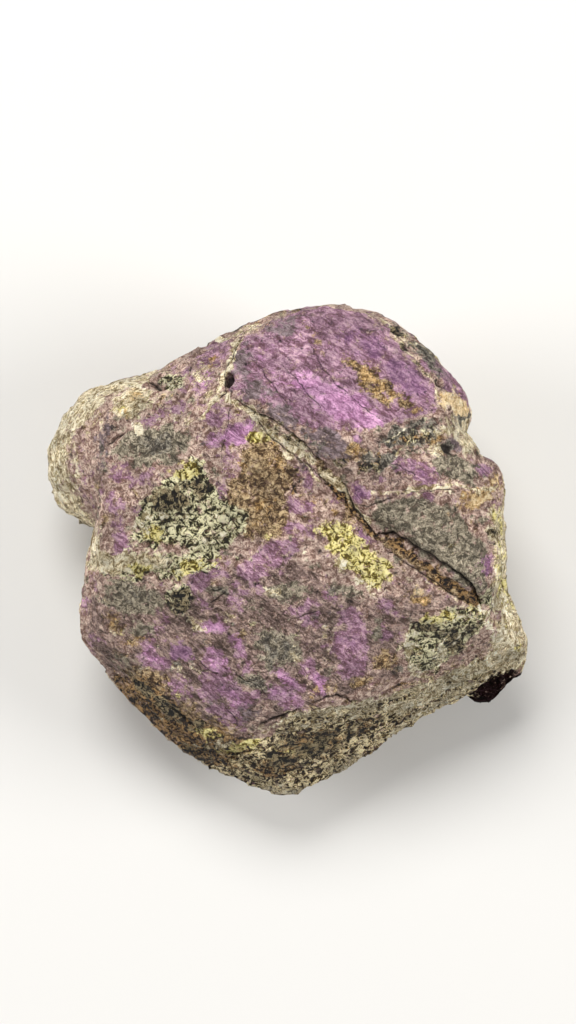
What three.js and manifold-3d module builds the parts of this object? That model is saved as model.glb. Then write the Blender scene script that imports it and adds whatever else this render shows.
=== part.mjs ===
// A rough specimen of purpurite: one weathered stone, about 40 mm across, with its purple face up.
//
// The stone is one solid. It is built the way it broke: blunt lumps with a few flat sides each are
// joined into one body, which is then worn round at its edges, roughened, pitted, and worn flat
// where it rests.
//
// Millimetres, +Z up. The origin is under the middle of the stone, on the surface that it lies on.
// Seen from above with +Y upwards, the purple block is at the top right, the round lobe at the
// left, and a ledge runs between the block and the lower face, from the upper left down to the
// lower right.

import * as THREE from "three";
import { ConvexGeometry } from "three/addons/geometries/ConvexGeometry.js";
import { ImprovedNoise } from "three/addons/math/ImprovedNoise.js";
import { TessellateModifier } from "three/addons/modifiers/TessellateModifier.js";
import { mergeVertices } from "three/addons/utils/BufferGeometryUtils.js";
import Module from "manifold-3d";

// Driving dimensions
const FACE = 19.5; // height of the middle of the face that looks up
const LEDGE = 1.8; // how far the block and the slab stand above that face
const GIRDLE = 9; // height at which the stone is widest, give or take a few millimetres
const WORN_OFF = 0.5; // what is rubbed off the underside to make the flat spot that it rests on

// Surface
const FACET = 1.8; // longest edge of a facet of the finished surface
const WEAR_PASSES = 1; // how often the edges are rubbed round
const WEAR_SHARE = 0.35; // how far a corner gives way to its neighbours each time
const LUMPS = { size: 6.5, height: 0.5 }; // broad undulation: distance between lumps, and their height
const GRAIN = { size: 2.2, height: 0.26 }; // rough broken grain on top of it

const wasm = await Module();
wasm.setup();

// Solids

function solidFrom(geometry) {
  const bare = new THREE.BufferGeometry();
  bare.setAttribute("position", geometry.getAttribute("position"));
  if (geometry.index) bare.setIndex(geometry.index);
  const merged = mergeVertices(bare, 1e-4);
  const mesh = new wasm.Mesh({
    numProp: 3,
    vertProperties: Float32Array.from(merged.attributes.position.array),
    triVerts: Uint32Array.from(merged.index.array),
  });
  return new wasm.Manifold(mesh);
}

function geometryFrom(solid) {
  const mesh = solid.getMesh();
  const geometry = new THREE.BufferGeometry();
  geometry.setAttribute("position", new THREE.BufferAttribute(mesh.vertProperties, 3));
  geometry.setIndex(new THREE.BufferAttribute(mesh.triVerts, 1));
  return geometry;
}

// A blunt lump with flat sides, from its corners.
function lump(...corners) {
  return solidFrom(new ConvexGeometry(corners.map((corner) => new THREE.Vector3(...corner))));
}

// The lumps. Each is a list of corners, from the face that looks up down to the underside.

// The middle of the stone, with the spot that it rests on.
function core() {
  return lump(
    [-15.6, 0.8, 12.5], [-15.4, 6.0, 14.5], [-13.5, 11.0, 14.0], [-3.5, 16.8, 15.5],
    [10.0, 15.6, 15.5], [14.6, 9.6, 15.0], [16.2, 3.0, 14.0], [13.0, -4.5, 16.0],
    [0.0, 0.0, FACE - 1.0],
    // the underside, broken in a few large planes
    [-15.2, -4.5, 7.0], [-15.6, 4.0, 5.6], [-12.8, 9.6, 5.0], [-4.0, 15.8, 6.2],
    [7.0, 17.2, 6.8], [13.6, 10.6, 6.0], [15.9, 2.0, 6.4],
    [-11.0, -4.5, 1.6], [-9.8, 6.2, 1.9], [-1.0, 12.2, 1.7], [9.4, 8.6, 2.0], [12.6, -1.5, 2.4],
    // the small spot that it rests on
    [-7.5, -2.5, 0], [-5.0, -8.0, 0], [2.0, -9.5, 0], [8.5, -6.0, 0], [8.0, 2.5, 0],
    [2.5, 7.0, 0], [-5.0, 5.5, 0],
  );
}

function lowerFace() {
  return lump(
    // the edge along the foot of the ledge
    [-5.2, 12.2, FACE + 0.6], [0.5, 9.3, FACE + 0.6], [6.0, 3.2, FACE + 0.8],
    [10.6, -0.9, FACE + 0.3], [16.4, -4.8, FACE - 1.5],
    // the edge above the left lobe
    [-12.6, 12.4, FACE - 3.2], [-15.0, 9.0, FACE - 3.5], [-15.2, 5.0, FACE - 3.6],
    [-11.5, 7.0, FACE - 1.3],
    // where the face turns down towards the near side
    [-15.4, -1.8, FACE - 3.0], [-8.0, -2.0, FACE - 0.5], [-2.0, -1.4, FACE + 0.4],
    [4.0, -2.4, FACE + 0.6],
    // the brow above the crumbling bevel
    [-15.6, -7.2, 13.6], [-10.5, -12.0, 13.6], [-3.5, -14.0, 15.2], [3.0, -12.4, 16.0],
    [8.5, -11.0, 15.8], [13.5, -8.8, 15.4], [17.2, -6.4, 15.6],
    // the outline
    [-17.3, -4.4, GIRDLE + 2.4], [-17.4, -7.6, GIRDLE + 0.5], [-13.9, -12.4, GIRDLE - 1],
    [-8.2, -17.9, GIRDLE - 1.5], [-4.0, -19.5, GIRDLE - 1.5], [0.2, -21.1, GIRDLE - 1.8],
    [3.6, -19.5, GIRDLE - 2], [9.6, -14.4, GIRDLE], [14.6, -12.5, GIRDLE - 0.5],
    [20.0, -8.9, GIRDLE], [18.9, -5.0, GIRDLE + 1.5], [17.9, 0.0, GIRDLE + 3],
    // the broken planes of the near side, below the outline
    [-16.4, -4.5, 6.4], [-13.6, -9.8, 4.6], [-2.5, -17.4, 4.0], [4.2, -16.4, 3.6],
    [12.8, -10.6, 4.4], [17.6, -5.5, 6.2], [-9.5, -9.0, 1.8], [-2.0, -12.4, 1.4],
    [6.0, -11.0, 1.2], [12.0, -6.0, 2.0], [0.0, 6.0, 6.0],
  );
}

function purpleBlock() {
  return lump(
    // the far edge of the purple face
    [-3.7, 17.9, 17.4], [0.2, 19.3, 17.4], [3.6, 20.0, 17.0], [6.8, 19.4, 17.2],
    // its right edge, where a pale seam runs
    [9.0, 17.4, 18.5], [11.2, 15.0, 19.7], [12.9, 12.2, 20.4], [13.0, 9.6, 20.2],
    // its left edge, along the crack
    [-4.9, 14.6, 19.6], [-4.4, 12.7, FACE + 1.0],
    // the lip of the ledge
    [-2.0, 11.7, FACE + LEDGE], [0.6, 10.1, FACE + LEDGE + 0.6], [2.8, 8.2, FACE + LEDGE + 0.8],
    [5.0, 6.4, FACE + LEDGE + 0.5], [8.5, 7.0, FACE + LEDGE + 0.2],
    // the outline
    [-3.4, 18.8, 13.5], [-0.6, 20.0, 13.0], [3.2, 20.6, 12.5], [7.6, 19.7, 13.5],
    [11.2, 17.3, 14.5], [14.6, 13.5, 14.6], [15.2, 12.0, 13.8], [15.1, 9.6, 12.6],
    // its broken far side, down to the underside
    [-1.5, 18.4, 8.6], [5.5, 19.0, 7.4], [12.4, 14.2, 7.0], [14.6, 9.5, 7.4],
    [1.0, 14.5, 3.4], [8.6, 12.6, 3.0],
    // the foot of its sloping ledge wall, inside the stone
    [-4.6, 9.2, 14.5], [-2.0, 6.8, 14.5], [2.6, 3.4, 14.5],
  );
}

// The saddle between the purple block and the grey slab.
function saddle() {
  return lump(
    // its shallow top, from the lip of the ledge to the notch in the right side
    [4.5, 7.0, FACE + LEDGE], [4.9, 5.2, FACE + LEDGE - 0.3], [8.8, 9.8, FACE + 1.9],
    [12.8, 10.4, FACE + 0.9], [15.0, 9.6, FACE - 2.2], [15.8, 8.2, FACE - 3.2],
    [8.6, 4.0, FACE + LEDGE - 0.2], [12.8, 5.6, FACE + 1.6], [16.6, 6.8, FACE - 1.6],
    // the foot of its ledge wall, and its broken right side
    [3.4, 1.8, 15.0], [13.0, 9.0, 5.0], [15.5, 8.6, 8.0], [16.3, 6.0, 8.0], [14.4, 8.4, 4.4],
    [15.2, 5.6, 5.0],
  );
}

function greySlab() {
  return lump(
    // the lip of the ledge
    [5.4, 5.0, FACE + LEDGE + 0.3], [7.5, 2.7, FACE + LEDGE + 0.1], [10.2, 0.9, FACE + LEDGE - 0.1],
    [13.6, -1.5, FACE + 1.3], [16.4, -3.8, FACE - 0.3],
    // its far and right edges
    [9.0, 5.8, FACE + LEDGE + 0.1], [13.0, 5.9, FACE + 1.6], [17.0, 5.5, FACE - 1.0],
    [17.2, 2.5, FACE - 0.7], [17.3, -1.6, FACE - 0.9],
    // the corner that juts out at the right
    [13.2, 7.2, FACE + 0.9], [16.4, 7.2, FACE - 2.2], [17.5, 6.2, FACE - 2.4],
    // the outline
    [16.7, 7.7, 13.5], [17.6, 7.0, 13.8], [17.9, 5.0, 12.8], [17.6, 1.6, 12.0],
    [18.3, -2.0, 11.5],
    // its broken right side, down to the underside
    [16.4, 6.2, 8.4], [17.0, 0.0, 7.4], [16.6, -5.0, 7.0], [12.4, 3.6, 3.0],
    // the foot of its sloping ledge wall, inside the stone
    [4.4, 0.2, 15.0], [11.2, -4.8, 14.0],
  );
}

function leftLobe() {
  return lump(
    // where its top turns down
    [-15.0, 12.3, 14.6], [-14.9, 9.2, 16.1], [-15.2, 6.0, 15.9], [-14.6, 3.2, 15.5], [-12.4, 13.4, 15.6],
    [-10.6, 14.4, 15.0],
    // halfway down its rounded side
    [-17.1, 12.0, 13.0], [-18.2, 9.6, 13.4], [-18.6, 6.6, 13.2], [-17.7, 4.0, 12.4],
    [-16.0, 2.2, 12.4],
    // the outline
    [-20.3, 6.0, GIRDLE], [-19.8, 8.6, GIRDLE + 0.4], [-18.7, 11.2, GIRDLE + 0.6],
    [-16.8, 13.3, GIRDLE + 1], [-14.2, 14.6, GIRDLE + 1.6], [-11.0, 15.2, GIRDLE + 2],
    [-19.3, 3.6, GIRDLE - 0.6], [-16.6, 1.6, GIRDLE - 0.6],
    // its underside
    [-18.6, 7.2, 6.2], [-16.8, 11.4, 6.4], [-12.0, 13.2, 6.4], [-16.8, 3.6, 5.8],
    [-14.0, 7.6, 3.6], [-8.0, 9.0, 3.0], [-7.0, 3.0, 8.0],
  );
}

// The shoulder at the far side, between the lobe and the purple block.
function shoulder() {
  return lump(
    [-11.6, 11.8, FACE - 2.5], [-8.0, 13.6, FACE - 2.0], [-5.3, 12.9, FACE + 0.3],
    [-4.8, 15.0, FACE - 0.1], [-4.1, 17.4, FACE - 2.0], [-9.0, 9.5, FACE - 0.8],
    [-3.2, 13.2, FACE + 0.4], [-3.0, 15.6, FACE - 0.6], [-2.6, 17.6, FACE - 2.4],
    // the outline
    [-10.6, 14.4, 15.0], [-8.4, 15.0, 15.7], [-11.0, 15.0, 11.5], [-10.1, 15.5, 12.8],
    [-8.3, 15.7, 13.2], [-6.2, 17.2, 13.6], [-4.5, 18.5, 13.6], [-2.4, 19.3, 13.2],
    // its broken far side, down to the underside
    [-9.8, 14.6, 7.6], [-4.4, 17.0, 7.8], [-6.5, 12.4, 3.0], [-2.5, 14.0, 7.0], [-5.0, 9.0, 10.0],
  );
}

// The dark fragment under the lower right corner.
function darkFragment() {
  return lump(
    [14.8, -11.6, 8.4], [15.0, -12.7, 7.4], [16.6, -13.4, 6.4], [17.3, -13.1, 6.6],
    [17.9, -11.6, 7.8], [20.1, -9.3, 8.2], [20.1, -8.6, 9.0], [15.4, -11.6, 2.9],
    [17.0, -11.9, 3.2], [18.8, -8.4, 4.0], [12.0, -7.0, 3.0], [14.0, -5.0, 8.0],
  );
}

// Surface

// Splits every edge until none is longer than FACET.
function tessellated(geometry) {
  const fine = new TessellateModifier(FACET, 12).modify(geometry.toNonIndexed());
  return mergeVertices(fine, 1e-4);
}

function neighboursOf(geometry) {
  const near = Array.from({ length: geometry.attributes.position.count }, () => new Set());
  const index = geometry.index.array;
  for (let i = 0; i < index.length; i += 3) {
    const [a, b, c] = index.subarray(i, i + 3);
    near[a].add(b).add(c);
    near[b].add(a).add(c);
    near[c].add(a).add(b);
  }
  return near;
}

// Rubs the edges and corners round.
function worn(geometry) {
  const position = geometry.attributes.position;
  const near = neighboursOf(geometry);
  const point = new THREE.Vector3();
  for (let pass = 0; pass < WEAR_PASSES; pass++) {
    const old = position.clone();
    for (let i = 0; i < position.count; i++) {
      const middle = new THREE.Vector3();
      for (const j of near[i]) middle.add(point.fromBufferAttribute(old, j));
      middle.divideScalar(near[i].size);
      point.fromBufferAttribute(old, i).lerp(middle, WEAR_SHARE);
      position.setXYZ(i, ...point);
    }
  }
  return geometry;
}

// Moves the surface in and out along its normals, by broad lumps and by finer broken grain.
function roughened(geometry) {
  geometry.computeVertexNormals();
  const noise = new ImprovedNoise();
  const { position, normal } = geometry.attributes;
  const point = new THREE.Vector3();
  const out = new THREE.Vector3();
  const at = (scale) =>
    noise.noise(point.x / scale + 7.3, point.y / scale + 2.9, point.z / scale + 5.1);
  for (let i = 0; i < position.count; i++) {
    point.fromBufferAttribute(position, i);
    out.fromBufferAttribute(normal, i);
    const relief = LUMPS.height * at(LUMPS.size) + GRAIN.height * at(GRAIN.size);
    point.addScaledVector(out, relief);
    position.setXYZ(i, ...point);
  }
  return geometry;
}

// A hollow left by a lost grain: a stretched, turned ball to cut away.
function pit([x, y, z], [length, width, depth], turn) {
  const ball = new THREE.IcosahedronGeometry(0.5, 2);
  ball.applyMatrix4(
    new THREE.Matrix4().compose(
      new THREE.Vector3(x, y, z),
      new THREE.Quaternion().setFromEuler(new THREE.Euler(0, 0, THREE.MathUtils.degToRad(turn))),
      new THREE.Vector3(length, width, depth),
    ),
  );
  return solidFrom(ball);
}

function wornFlatBelow(solid, height) {
  const floor = new THREE.BoxGeometry(100, 100, 20);
  floor.translate(0, 0, height - 10);
  return solid.subtract(solidFrom(floor));
}

// The stone

const lumps = [
  core(),
  lowerFace(),
  purpleBlock(),
  saddle(),
  greySlab(),
  leftLobe(),
  shoulder(),
  darkFragment(),
];
const joined = lumps.reduce((all, next) => all.add(next));
const surfaced = solidFrom(roughened(worn(tessellated(geometryFrom(joined)))));

const pits = [
  pit([13.3, 13.5, 19.4], [1.9, 1.2, 2.4], -35), // beside the tan grain on the block's right side
  pit([-4.7, 14.3, 20.2], [0.9, 1.8, 3.0], 0), // at the top of the crack
];
const pitted = pits.reduce((stone, hollow) => stone.subtract(hollow), surfaced);
const rested = geometryFrom(wornFlatBelow(pitted, WORN_OFF));

// The middle of its footprint goes to the origin.
rested.computeBoundingBox();
const { min, max } = rested.boundingBox;
rested.translate(-(min.x + max.x) / 2, -(min.y + max.y) / 2, -min.z);

const stone = new THREE.Mesh(
  rested,
  new THREE.MeshStandardMaterial({ color: 0x8b6f78, roughness: 0.75, metalness: 0 }),
);
stone.name = "purpurite_stone";

const specimen = new THREE.Group();
specimen.add(stone);

export default specimen;
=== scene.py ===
"""A rough specimen of purpurite, lying on its back with its purple face up, as in the photograph.

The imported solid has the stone's lumps, ledge and outline. Here it is replaced by a fine mesh of the
same stone with its grain, cracks and layers, and each mineral on it is a layer of one rock material.

Metres in Blender. The plan of the face is drawn in millimetres: x to the right, y away from the
near edge.
"""

import math

import bmesh
import bpy
import numpy as np
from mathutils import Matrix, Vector, noise


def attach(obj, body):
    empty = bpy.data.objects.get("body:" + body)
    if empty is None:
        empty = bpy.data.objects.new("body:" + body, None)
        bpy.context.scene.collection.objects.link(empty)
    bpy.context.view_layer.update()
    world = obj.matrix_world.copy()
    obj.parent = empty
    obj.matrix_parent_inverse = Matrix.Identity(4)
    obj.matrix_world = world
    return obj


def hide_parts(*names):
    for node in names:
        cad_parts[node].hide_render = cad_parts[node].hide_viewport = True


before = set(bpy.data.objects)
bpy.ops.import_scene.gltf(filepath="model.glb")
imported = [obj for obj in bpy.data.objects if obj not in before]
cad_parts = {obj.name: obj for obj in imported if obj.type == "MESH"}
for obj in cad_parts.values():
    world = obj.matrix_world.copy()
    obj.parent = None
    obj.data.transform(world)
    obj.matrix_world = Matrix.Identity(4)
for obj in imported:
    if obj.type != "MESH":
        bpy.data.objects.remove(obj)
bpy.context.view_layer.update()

# Without a seed, noise_vector starts from a new place in each run, and the chips come out different.
noise.seed_set(1)

MM = 0.001

# The fine mesh, in millimetres
VOXEL = 0.39  # spacing of the rebuilt surface
FACE_TILT = 0.30  # a facet that looks up by more than this is split once more
SMOOTHINGS = 3  # passes that blend the solid's facets

# Lighting and camera
CAMERA_DISTANCE = 0.45
FRAME_HEIGHT = 0.0853  # what the picture's height covers at the stone
STONE_MIDDLE = 0.012  # height at which the picture's scale is set
PICTURE_MIDDLE = (0.00017, 0.00342)  # the place on the plan that the camera is over
SENSOR = 36.0


def linear(hex_colour):
    """An sRGB hex colour as linear RGBA."""
    values = [int(hex_colour[i : i + 2], 16) / 255 for i in (1, 3, 5)]
    return [v / 12.92 if v <= 0.04045 else ((v + 0.055) / 1.055) ** 2.4 for v in values] + [1.0]


def smooth_step(low, high, value):
    t = np.clip((value - low) / (high - low), 0.0, 1.0)
    return t * t * (3 - 2 * t)


# Shapes in the plan of the face, in millimetres. A depth is positive inside and negative outside.


def patch_depth(x, y, middle_x, middle_y, half_length, half_width, turn):
    """An ellipse whose length is turned anticlockwise from x by turn degrees."""
    c, s = math.cos(math.radians(turn)), math.sin(math.radians(turn))
    along = ((x - middle_x) * c + (y - middle_y) * s) / half_length
    across = ((y - middle_y) * c - (x - middle_x) * s) / half_width
    return (1 - np.hypot(along, across)) * min(half_length, half_width)


def line_distance(x, y, points):
    """How far each point is from a line of straight stretches, and how far along it, from 0 to 1."""
    nearest = np.full(len(x), 1e9)
    along = np.zeros(len(x))
    for i, ((ax, ay), (bx, by)) in enumerate(zip(points, points[1:])):
        dx, dy = bx - ax, by - ay
        t = np.clip(((x - ax) * dx + (y - ay) * dy) / (dx * dx + dy * dy), 0, 1)
        distance = np.hypot(x - ax - t * dx, y - ay - t * dy)
        along = np.where(distance < nearest, (i + t) / (len(points) - 1), along)
        nearest = np.minimum(nearest, distance)
    return nearest, along


def area_depth(x, y, corners):
    """An outline of straight sides."""
    closed = corners + corners[:1]
    inside = np.zeros(len(x), bool)
    for (ax, ay), (bx, by) in zip(closed, closed[1:]):
        if ay != by:
            crosses = (ay > y) != (by > y)
            inside ^= crosses & (x < ax + (y - ay) * (bx - ax) / (by - ay))
    return np.where(inside, 1, -1) * line_distance(x, y, closed)[0]


# What lies where on the face, read off the photograph. Patches are (x, y, half length,
# half width, turn, strength), strokes are (points, half width, strength), and areas are
# (corners, strength).

MINERALS = {
    "purple": {
        "areas": [
            ([(-3.7, 17.6), (-1.5, 18.8), (0.2, 19.8), (3.4, 20.6), (6.4, 20.1), (7.6, 19.1), (9.2, 17.3),
              (10.6, 15.7), (11.9, 13.9), (12.6, 12.4), (12.2, 11.3), (10.4, 10.9), (8.3, 10.4), (5.4, 9.8),
              (3.2, 9.6), (2.0, 10.2), (0.4, 11.0), (-1.6, 12.2), (-3.2, 13.0), (-4.3, 13.3),
              (-4.7, 15.2)], 0.95),
        ],
        "patches": [
            (-17.0, 8.2, 3.2, 1.0, 95, 0.4), (-16.4, 5.2, 2.0, 0.9, 110, 0.42),
            (-13.6, 6.6, 1.7, 0.9, 10, 0.62), (-11.6, 6.2, 1.3, 0.6, 20, 0.72),
            (-14.2, 4.1, 1.1, 1.0, 0, 0.6), (-14.0, 2.4, 1.3, 0.7, 90, 0.6),
            (-13.6, 1.0, 1.4, 0.8, 70, 0.9), (-12.2, 3.6, 1.3, 0.7, 80, 0.55),
            (-10.6, 11.0, 1.8, 0.9, 10, 0.55), (-9.0, 12.0, 1.1, 0.8, 0, 0.68),
            (-7.4, 14.6, 2.0, 1.6, 30, 0.5), (-6.0, 16.3, 2.1, 1.0, 35, 0.72),
            (-8.6, 15.0, 1.2, 0.5, 15, 0.6), (-5.8, 11.3, 1.3, 1.1, 0, 0.76), (-6.2, 9.4, 1.0, 0.7, 0, 0.9),
            (-3.9, 9.8, 1.5, 1.1, 20, 0.95), (-4.6, 7.4, 1.6, 0.9, 100, 0.55),
            (-5.3, 5.2, 1.1, 0.7, 90, 0.6), (-2.2, 11.0, 1.3, 0.7, -30, 0.6),
            (-0.6, 0.4, 2.2, 0.9, 10, 0.8), (1.5, 6.8, 1.3, 0.9, -20, 0.66), (1.2, 4.1, 1.1, 0.8, 0, 0.85),
            (2.2, 5.6, 1.2, 0.6, -40, 0.6), (3.9, 4.8, 0.8, 0.8, 0, 0.45), (1.9, 2.0, 1.9, 0.9, -15, 0.6),
            (0.4, 2.2, 1.0, 0.8, 0, 0.6), (6.3, 1.4, 1.4, 0.6, -35, 0.72), (9.9, 7.2, 1.4, 0.8, -15, 0.9),
            (11.2, 6.4, 1.5, 0.9, -30, 0.95), (12.8, 6.8, 1.0, 0.6, 0, 0.55), (8.2, 5.9, 0.9, 0.5, 0, 0.55),
            (6.1, 5.0, 1.0, 0.9, -40, 0.7), (11.5, 4.6, 0.6, 0.5, 0, 0.85), (16.2, 6.9, 0.7, 0.5, -20, 0.9),
            (8.0, 2.1, 0.9, 0.4, -35, 0.5), (16.6, -0.9, 1.1, 0.9, -60, 0.62), (5.8, 9.2, 0.6, 0.5, 0, 0.6),
            (17.5, 6.4, 0.9, 0.4, 100, 0.5), (-6.6, -1.6, 1.5, 0.9, 10, 0.9),
            (-5.3, -1.4, 0.9, 0.6, 0, 0.8), (-7.6, -2.8, 1.5, 0.8, 15, 0.8),
            (-4.2, -3.5, 1.6, 0.9, 80, 0.62), (-7.0, -4.3, 0.8, 0.6, 90, 0.6),
            (-2.2, -1.0, 2.3, 1.1, 15, 0.76), (-3.0, -2.9, 1.6, 0.8, 0, 0.62),
            (-6.0, -6.1, 1.3, 0.8, 0, 0.95), (-8.5, -8.1, 1.0, 0.6, -10, 0.82),
            (-10.9, -8.6, 1.5, 1.0, -30, 0.75), (-10.9, -6.6, 1.2, 0.9, 0, 0.5),
            (-10.2, -5.4, 0.9, 0.8, 0, 0.45), (-5.8, -8.9, 1.5, 0.9, -45, 0.78),
            (-3.9, -7.6, 1.4, 0.7, 100, 0.74), (-3.2, -9.3, 1.1, 0.6, -40, 0.7),
            (-6.4, -11.7, 1.1, 0.9, 0, 0.7), (-8.8, -11.3, 1.7, 1.1, -20, 0.55),
            (-2.6, -11.8, 1.1, 0.6, -10, 0.8), (-0.3, -11.7, 1.9, 0.8, -30, 0.9),
            (-0.4, -9.7, 1.1, 0.5, -30, 0.82), (-4.8, -13.6, 1.9, 0.9, -35, 0.75),
            (-8.5, -12.9, 1.3, 0.8, 0, 0.35), (-16.9, -4.3, 0.9, 0.4, 90, 0.8),
            (-16.3, -7.4, 0.9, 0.6, -20, 0.7), (-14.9, -7.6, 0.7, 0.4, 0, 0.5),
            (-2.8, -19.0, 1.7, 0.5, -15, 0.6), (-1.9, -15.2, 0.9, 0.5, 0, 0.5),
            (1.6, -4.4, 1.3, 0.6, 15, 0.8), (1.8, -5.6, 1.0, 0.6, 10, 0.8), (3.6, -3.3, 1.3, 0.7, 0, 0.6),
            (5.4, -5.6, 1.7, 0.9, -35, 0.9), (5.2, -7.6, 1.9, 1.4, 20, 0.76), (5.8, -9.2, 1.4, 0.9, 0, 0.8),
            (4.9, -10.0, 0.9, 0.6, 0, 0.6), (8.2, -6.6, 1.3, 0.9, 90, 0.6), (8.2, -4.2, 1.7, 0.7, -35, 0.6),
            (2.0, -9.4, 1.0, 0.7, -50, 0.9), (2.7, -10.7, 1.1, 0.7, -55, 1.0),
            (1.8, -7.7, 0.9, 0.6, 0, 0.5), (0.3, -10.4, 1.4, 0.5, -35, 0.9),
            (0.3, -11.9, 1.4, 0.7, -10, 0.9), (11.5, -2.1, 1.6, 0.6, -35, 0.5),
            (13.3, -3.5, 1.1, 0.6, -20, 0.5), (15.4, -1.9, 1.2, 0.5, -30, 0.55),
            (7.3, -10.9, 0.8, 0.5, 0, 0.4),
        ],
        "strokes": [
            ([(11.5, 15.8), (13.3, 14.8), (14.4, 13.6), (15.0, 12.6)], 0.5, 0.85),
            ([(-6.5, -10.4), (-5.0, -11.0), (-3.8, -12.2)], 0.8, 0.86),
        ],
    },
    "mauve": {
        "areas": [
            ([(-16.8, -3.4), (-12.0, -2.6), (-6.0, -2.4), (-2.0, 0.6), (2.0, -0.6), (4.2, -3.2),
              (8.0, -3.2), (10.6, -2.2), (15.6, -4.4), (11.0, -4.8), (9.6, -7.0), (9.8, -10.2),
              (3.0, -12.4), (-1.6, -14.6), (-8.6, -14.8), (-14.8, -10.0), (-17.2, -6.4)], 0.66),
        ],
        "patches": [
            (5.2, -7.6, 1.9, 1.4, 20, 0.8), (9.0, 6.4, 3.6, 1.0, -15, 0.55), (7.4, 8.8, 2.4, 0.9, 20, 0.6),
            (-3.4, 2.4, 2.4, 1.0, 60, 0.45), (2.8, 1.2, 1.6, 0.9, -30, 0.45),
            (15.2, -1.0, 1.6, 1.0, -50, 0.5),
        ],
    },
    "lilac": {
        "patches": [
            # The patches on this line and the next two, in the middle of the purple block, are partly lilac
            # and partly painted highlight where the block's satin face catches the light.
            (4.4, 12.2, 2.9, 1.5, -25, 0.85), (6.4, 11.0, 1.8, 0.8, -10, 0.8),
            (2.2, 13.8, 1.8, 0.9, -30, 0.7), (-0.3, 14.3, 1.2, 0.8, -30, 0.5),
            (-1.6, 16.4, 1.4, 0.8, 40, 0.45), (4.2, 16.6, 1.8, 0.7, -20, 0.42),
            (-3.9, 9.7, 1.5, 1.0, 20, 0.95), (-6.8, 14.4, 0.9, 0.5, 30, 0.6), (-6.2, 9.4, 0.7, 0.5, 0, 0.6),
            (-5.9, -6.1, 1.1, 0.6, 0, 0.85), (2.7, -10.6, 1.0, 0.5, -55, 0.8),
            (2.0, -9.3, 0.7, 0.5, -50, 0.65), (0.1, -10.2, 1.2, 0.4, -35, 0.7),
            (-0.4, -11.6, 1.5, 0.5, -30, 0.62), (-4.6, -11.8, 1.4, 0.6, -40, 0.62),
            (-5.7, -8.8, 1.2, 0.6, -45, 0.6), (-10.8, -8.5, 1.1, 0.7, -30, 0.6),
            (-8.7, -11.2, 1.2, 0.5, -20, 0.5), (-3.9, -7.4, 1.0, 0.4, 100, 0.55),
            (-16.9, -4.2, 0.8, 0.3, 90, 0.6), (11.4, 6.3, 0.7, 0.4, -30, 0.5),
        ],
    },
    "violet": {
        "patches": [
            (9.6, 14.4, 2.2, 1.2, -45, 0.75), (6.4, 17.2, 2.6, 1.2, -30, 0.6),
            (10.8, 13.4, 1.0, 0.7, -45, 0.7), (-8.5, -8.1, 1.0, 0.7, 0, 1.0),
            (11.2, 6.5, 1.0, 0.5, -30, 0.6), (6.1, 5.0, 0.9, 0.7, -40, 0.6), (5.8, 9.2, 0.5, 0.5, 0, 0.7),
            (16.3, -0.8, 1.0, 0.8, -60, 0.7), (6.4, 1.4, 1.2, 0.5, -35, 0.5),
            (5.2, -7.4, 1.4, 1.0, 20, 0.4), (16.2, 6.9, 0.6, 0.4, 0, 0.7), (-5.5, 4.8, 0.6, 0.4, 0, 0.7),
        ],
    },
    "violet_grey": {
        # The area beside the left lobe is painted shade, on a groove facet that faces away from the light.
        "areas": [
            ([(-14.7, 12.2), (-15.8, 9.4), (-15.9, 7.3), (-15.2, 6.3), (-14.8, 8.2), (-14.4, 9.6),
              (-14.2, 11.6)], 0.7),
        ],
        "patches": [
            # The patches along the purple block's lower left lip, on this line and the next, and those at
            # (3.4, 8.9), (4.9, 7.8) and (2.0, 9.6) below, are painted shade where the face rolls over
            # towards the ledge.
            (-3.6, 15.6, 2.0, 0.9, 80, 0.68), (-2.4, 13.5, 1.6, 0.8, -20, 0.75),
            (-0.3, 11.3, 1.8, 0.7, -25, 0.9), (1.6, 10.4, 1.2, 0.5, -20, 0.72),
            (-0.2, 18.7, 2.2, 0.7, 25, 0.7), (7.4, 18.4, 1.0, 0.6, 0, 0.45),
            (3.4, 8.9, 2.2, 1.0, -35, 0.92), (4.9, 7.8, 0.7, 0.6, 0, 0.85), (2.0, 9.6, 0.9, 0.5, -30, 0.8),
            (13.8, 8.9, 0.8, 0.6, -30, 0.95), (14.9, -2.2, 1.6, 0.7, -30, 0.6),
            (-7.0, 9.6, 0.4, 0.9, 0, 0.7), (-5.6, -12.6, 1.0, 0.4, -35, 0.5),
            (-3.0, -13.2, 1.0, 0.6, -30, 0.75), (8.3, 4.4, 0.9, 0.4, 10, 0.6),
            (1.0, 7.2, 0.9, 0.5, 40, 0.6), (5.0, 4.6, 0.5, 0.4, 0, 0.6), (2.7, -4.9, 1.2, 0.3, 20, 0.6),
        ],
    },
    "brown": {
        "areas": [
            ([(-3.2, 9.8), (-1.6, 9.6), (0.0, 8.2), (0.9, 6.4), (0.4, 4.6), (0.2, 2.4), (-0.8, 1.2),
              (-3.4, 1.4), (-4.8, 3.6), (-5.0, 5.2), (-3.6, 7.4)], 1.0),
            ([(4.4, 16.5), (6.7, 15.6), (7.9, 14.5), (9.3, 13.1), (11.0, 12.5), (10.2, 11.7), (8.0, 12.1),
              (6.7, 13.0), (5.8, 13.8), (5.5, 14.8), (4.4, 15.4)], 0.78),
        ],
        "patches": [
            (6.0, 8.0, 1.3, 1.1, 0, 0.62), (11.8, 9.4, 1.2, 0.6, 10, 0.6), (4.6, 3.6, 1.6, 0.8, -45, 0.6),
            (2.6, 17.2, 1.3, 0.6, 100, 0.55), (1.4, 18.9, 1.2, 0.4, -40, 0.45),
            (-9.2, 1.0, 1.3, 0.8, 0, 0.5), (-14.2, -5.8, 1.2, 0.9, 90, 0.66),
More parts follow.
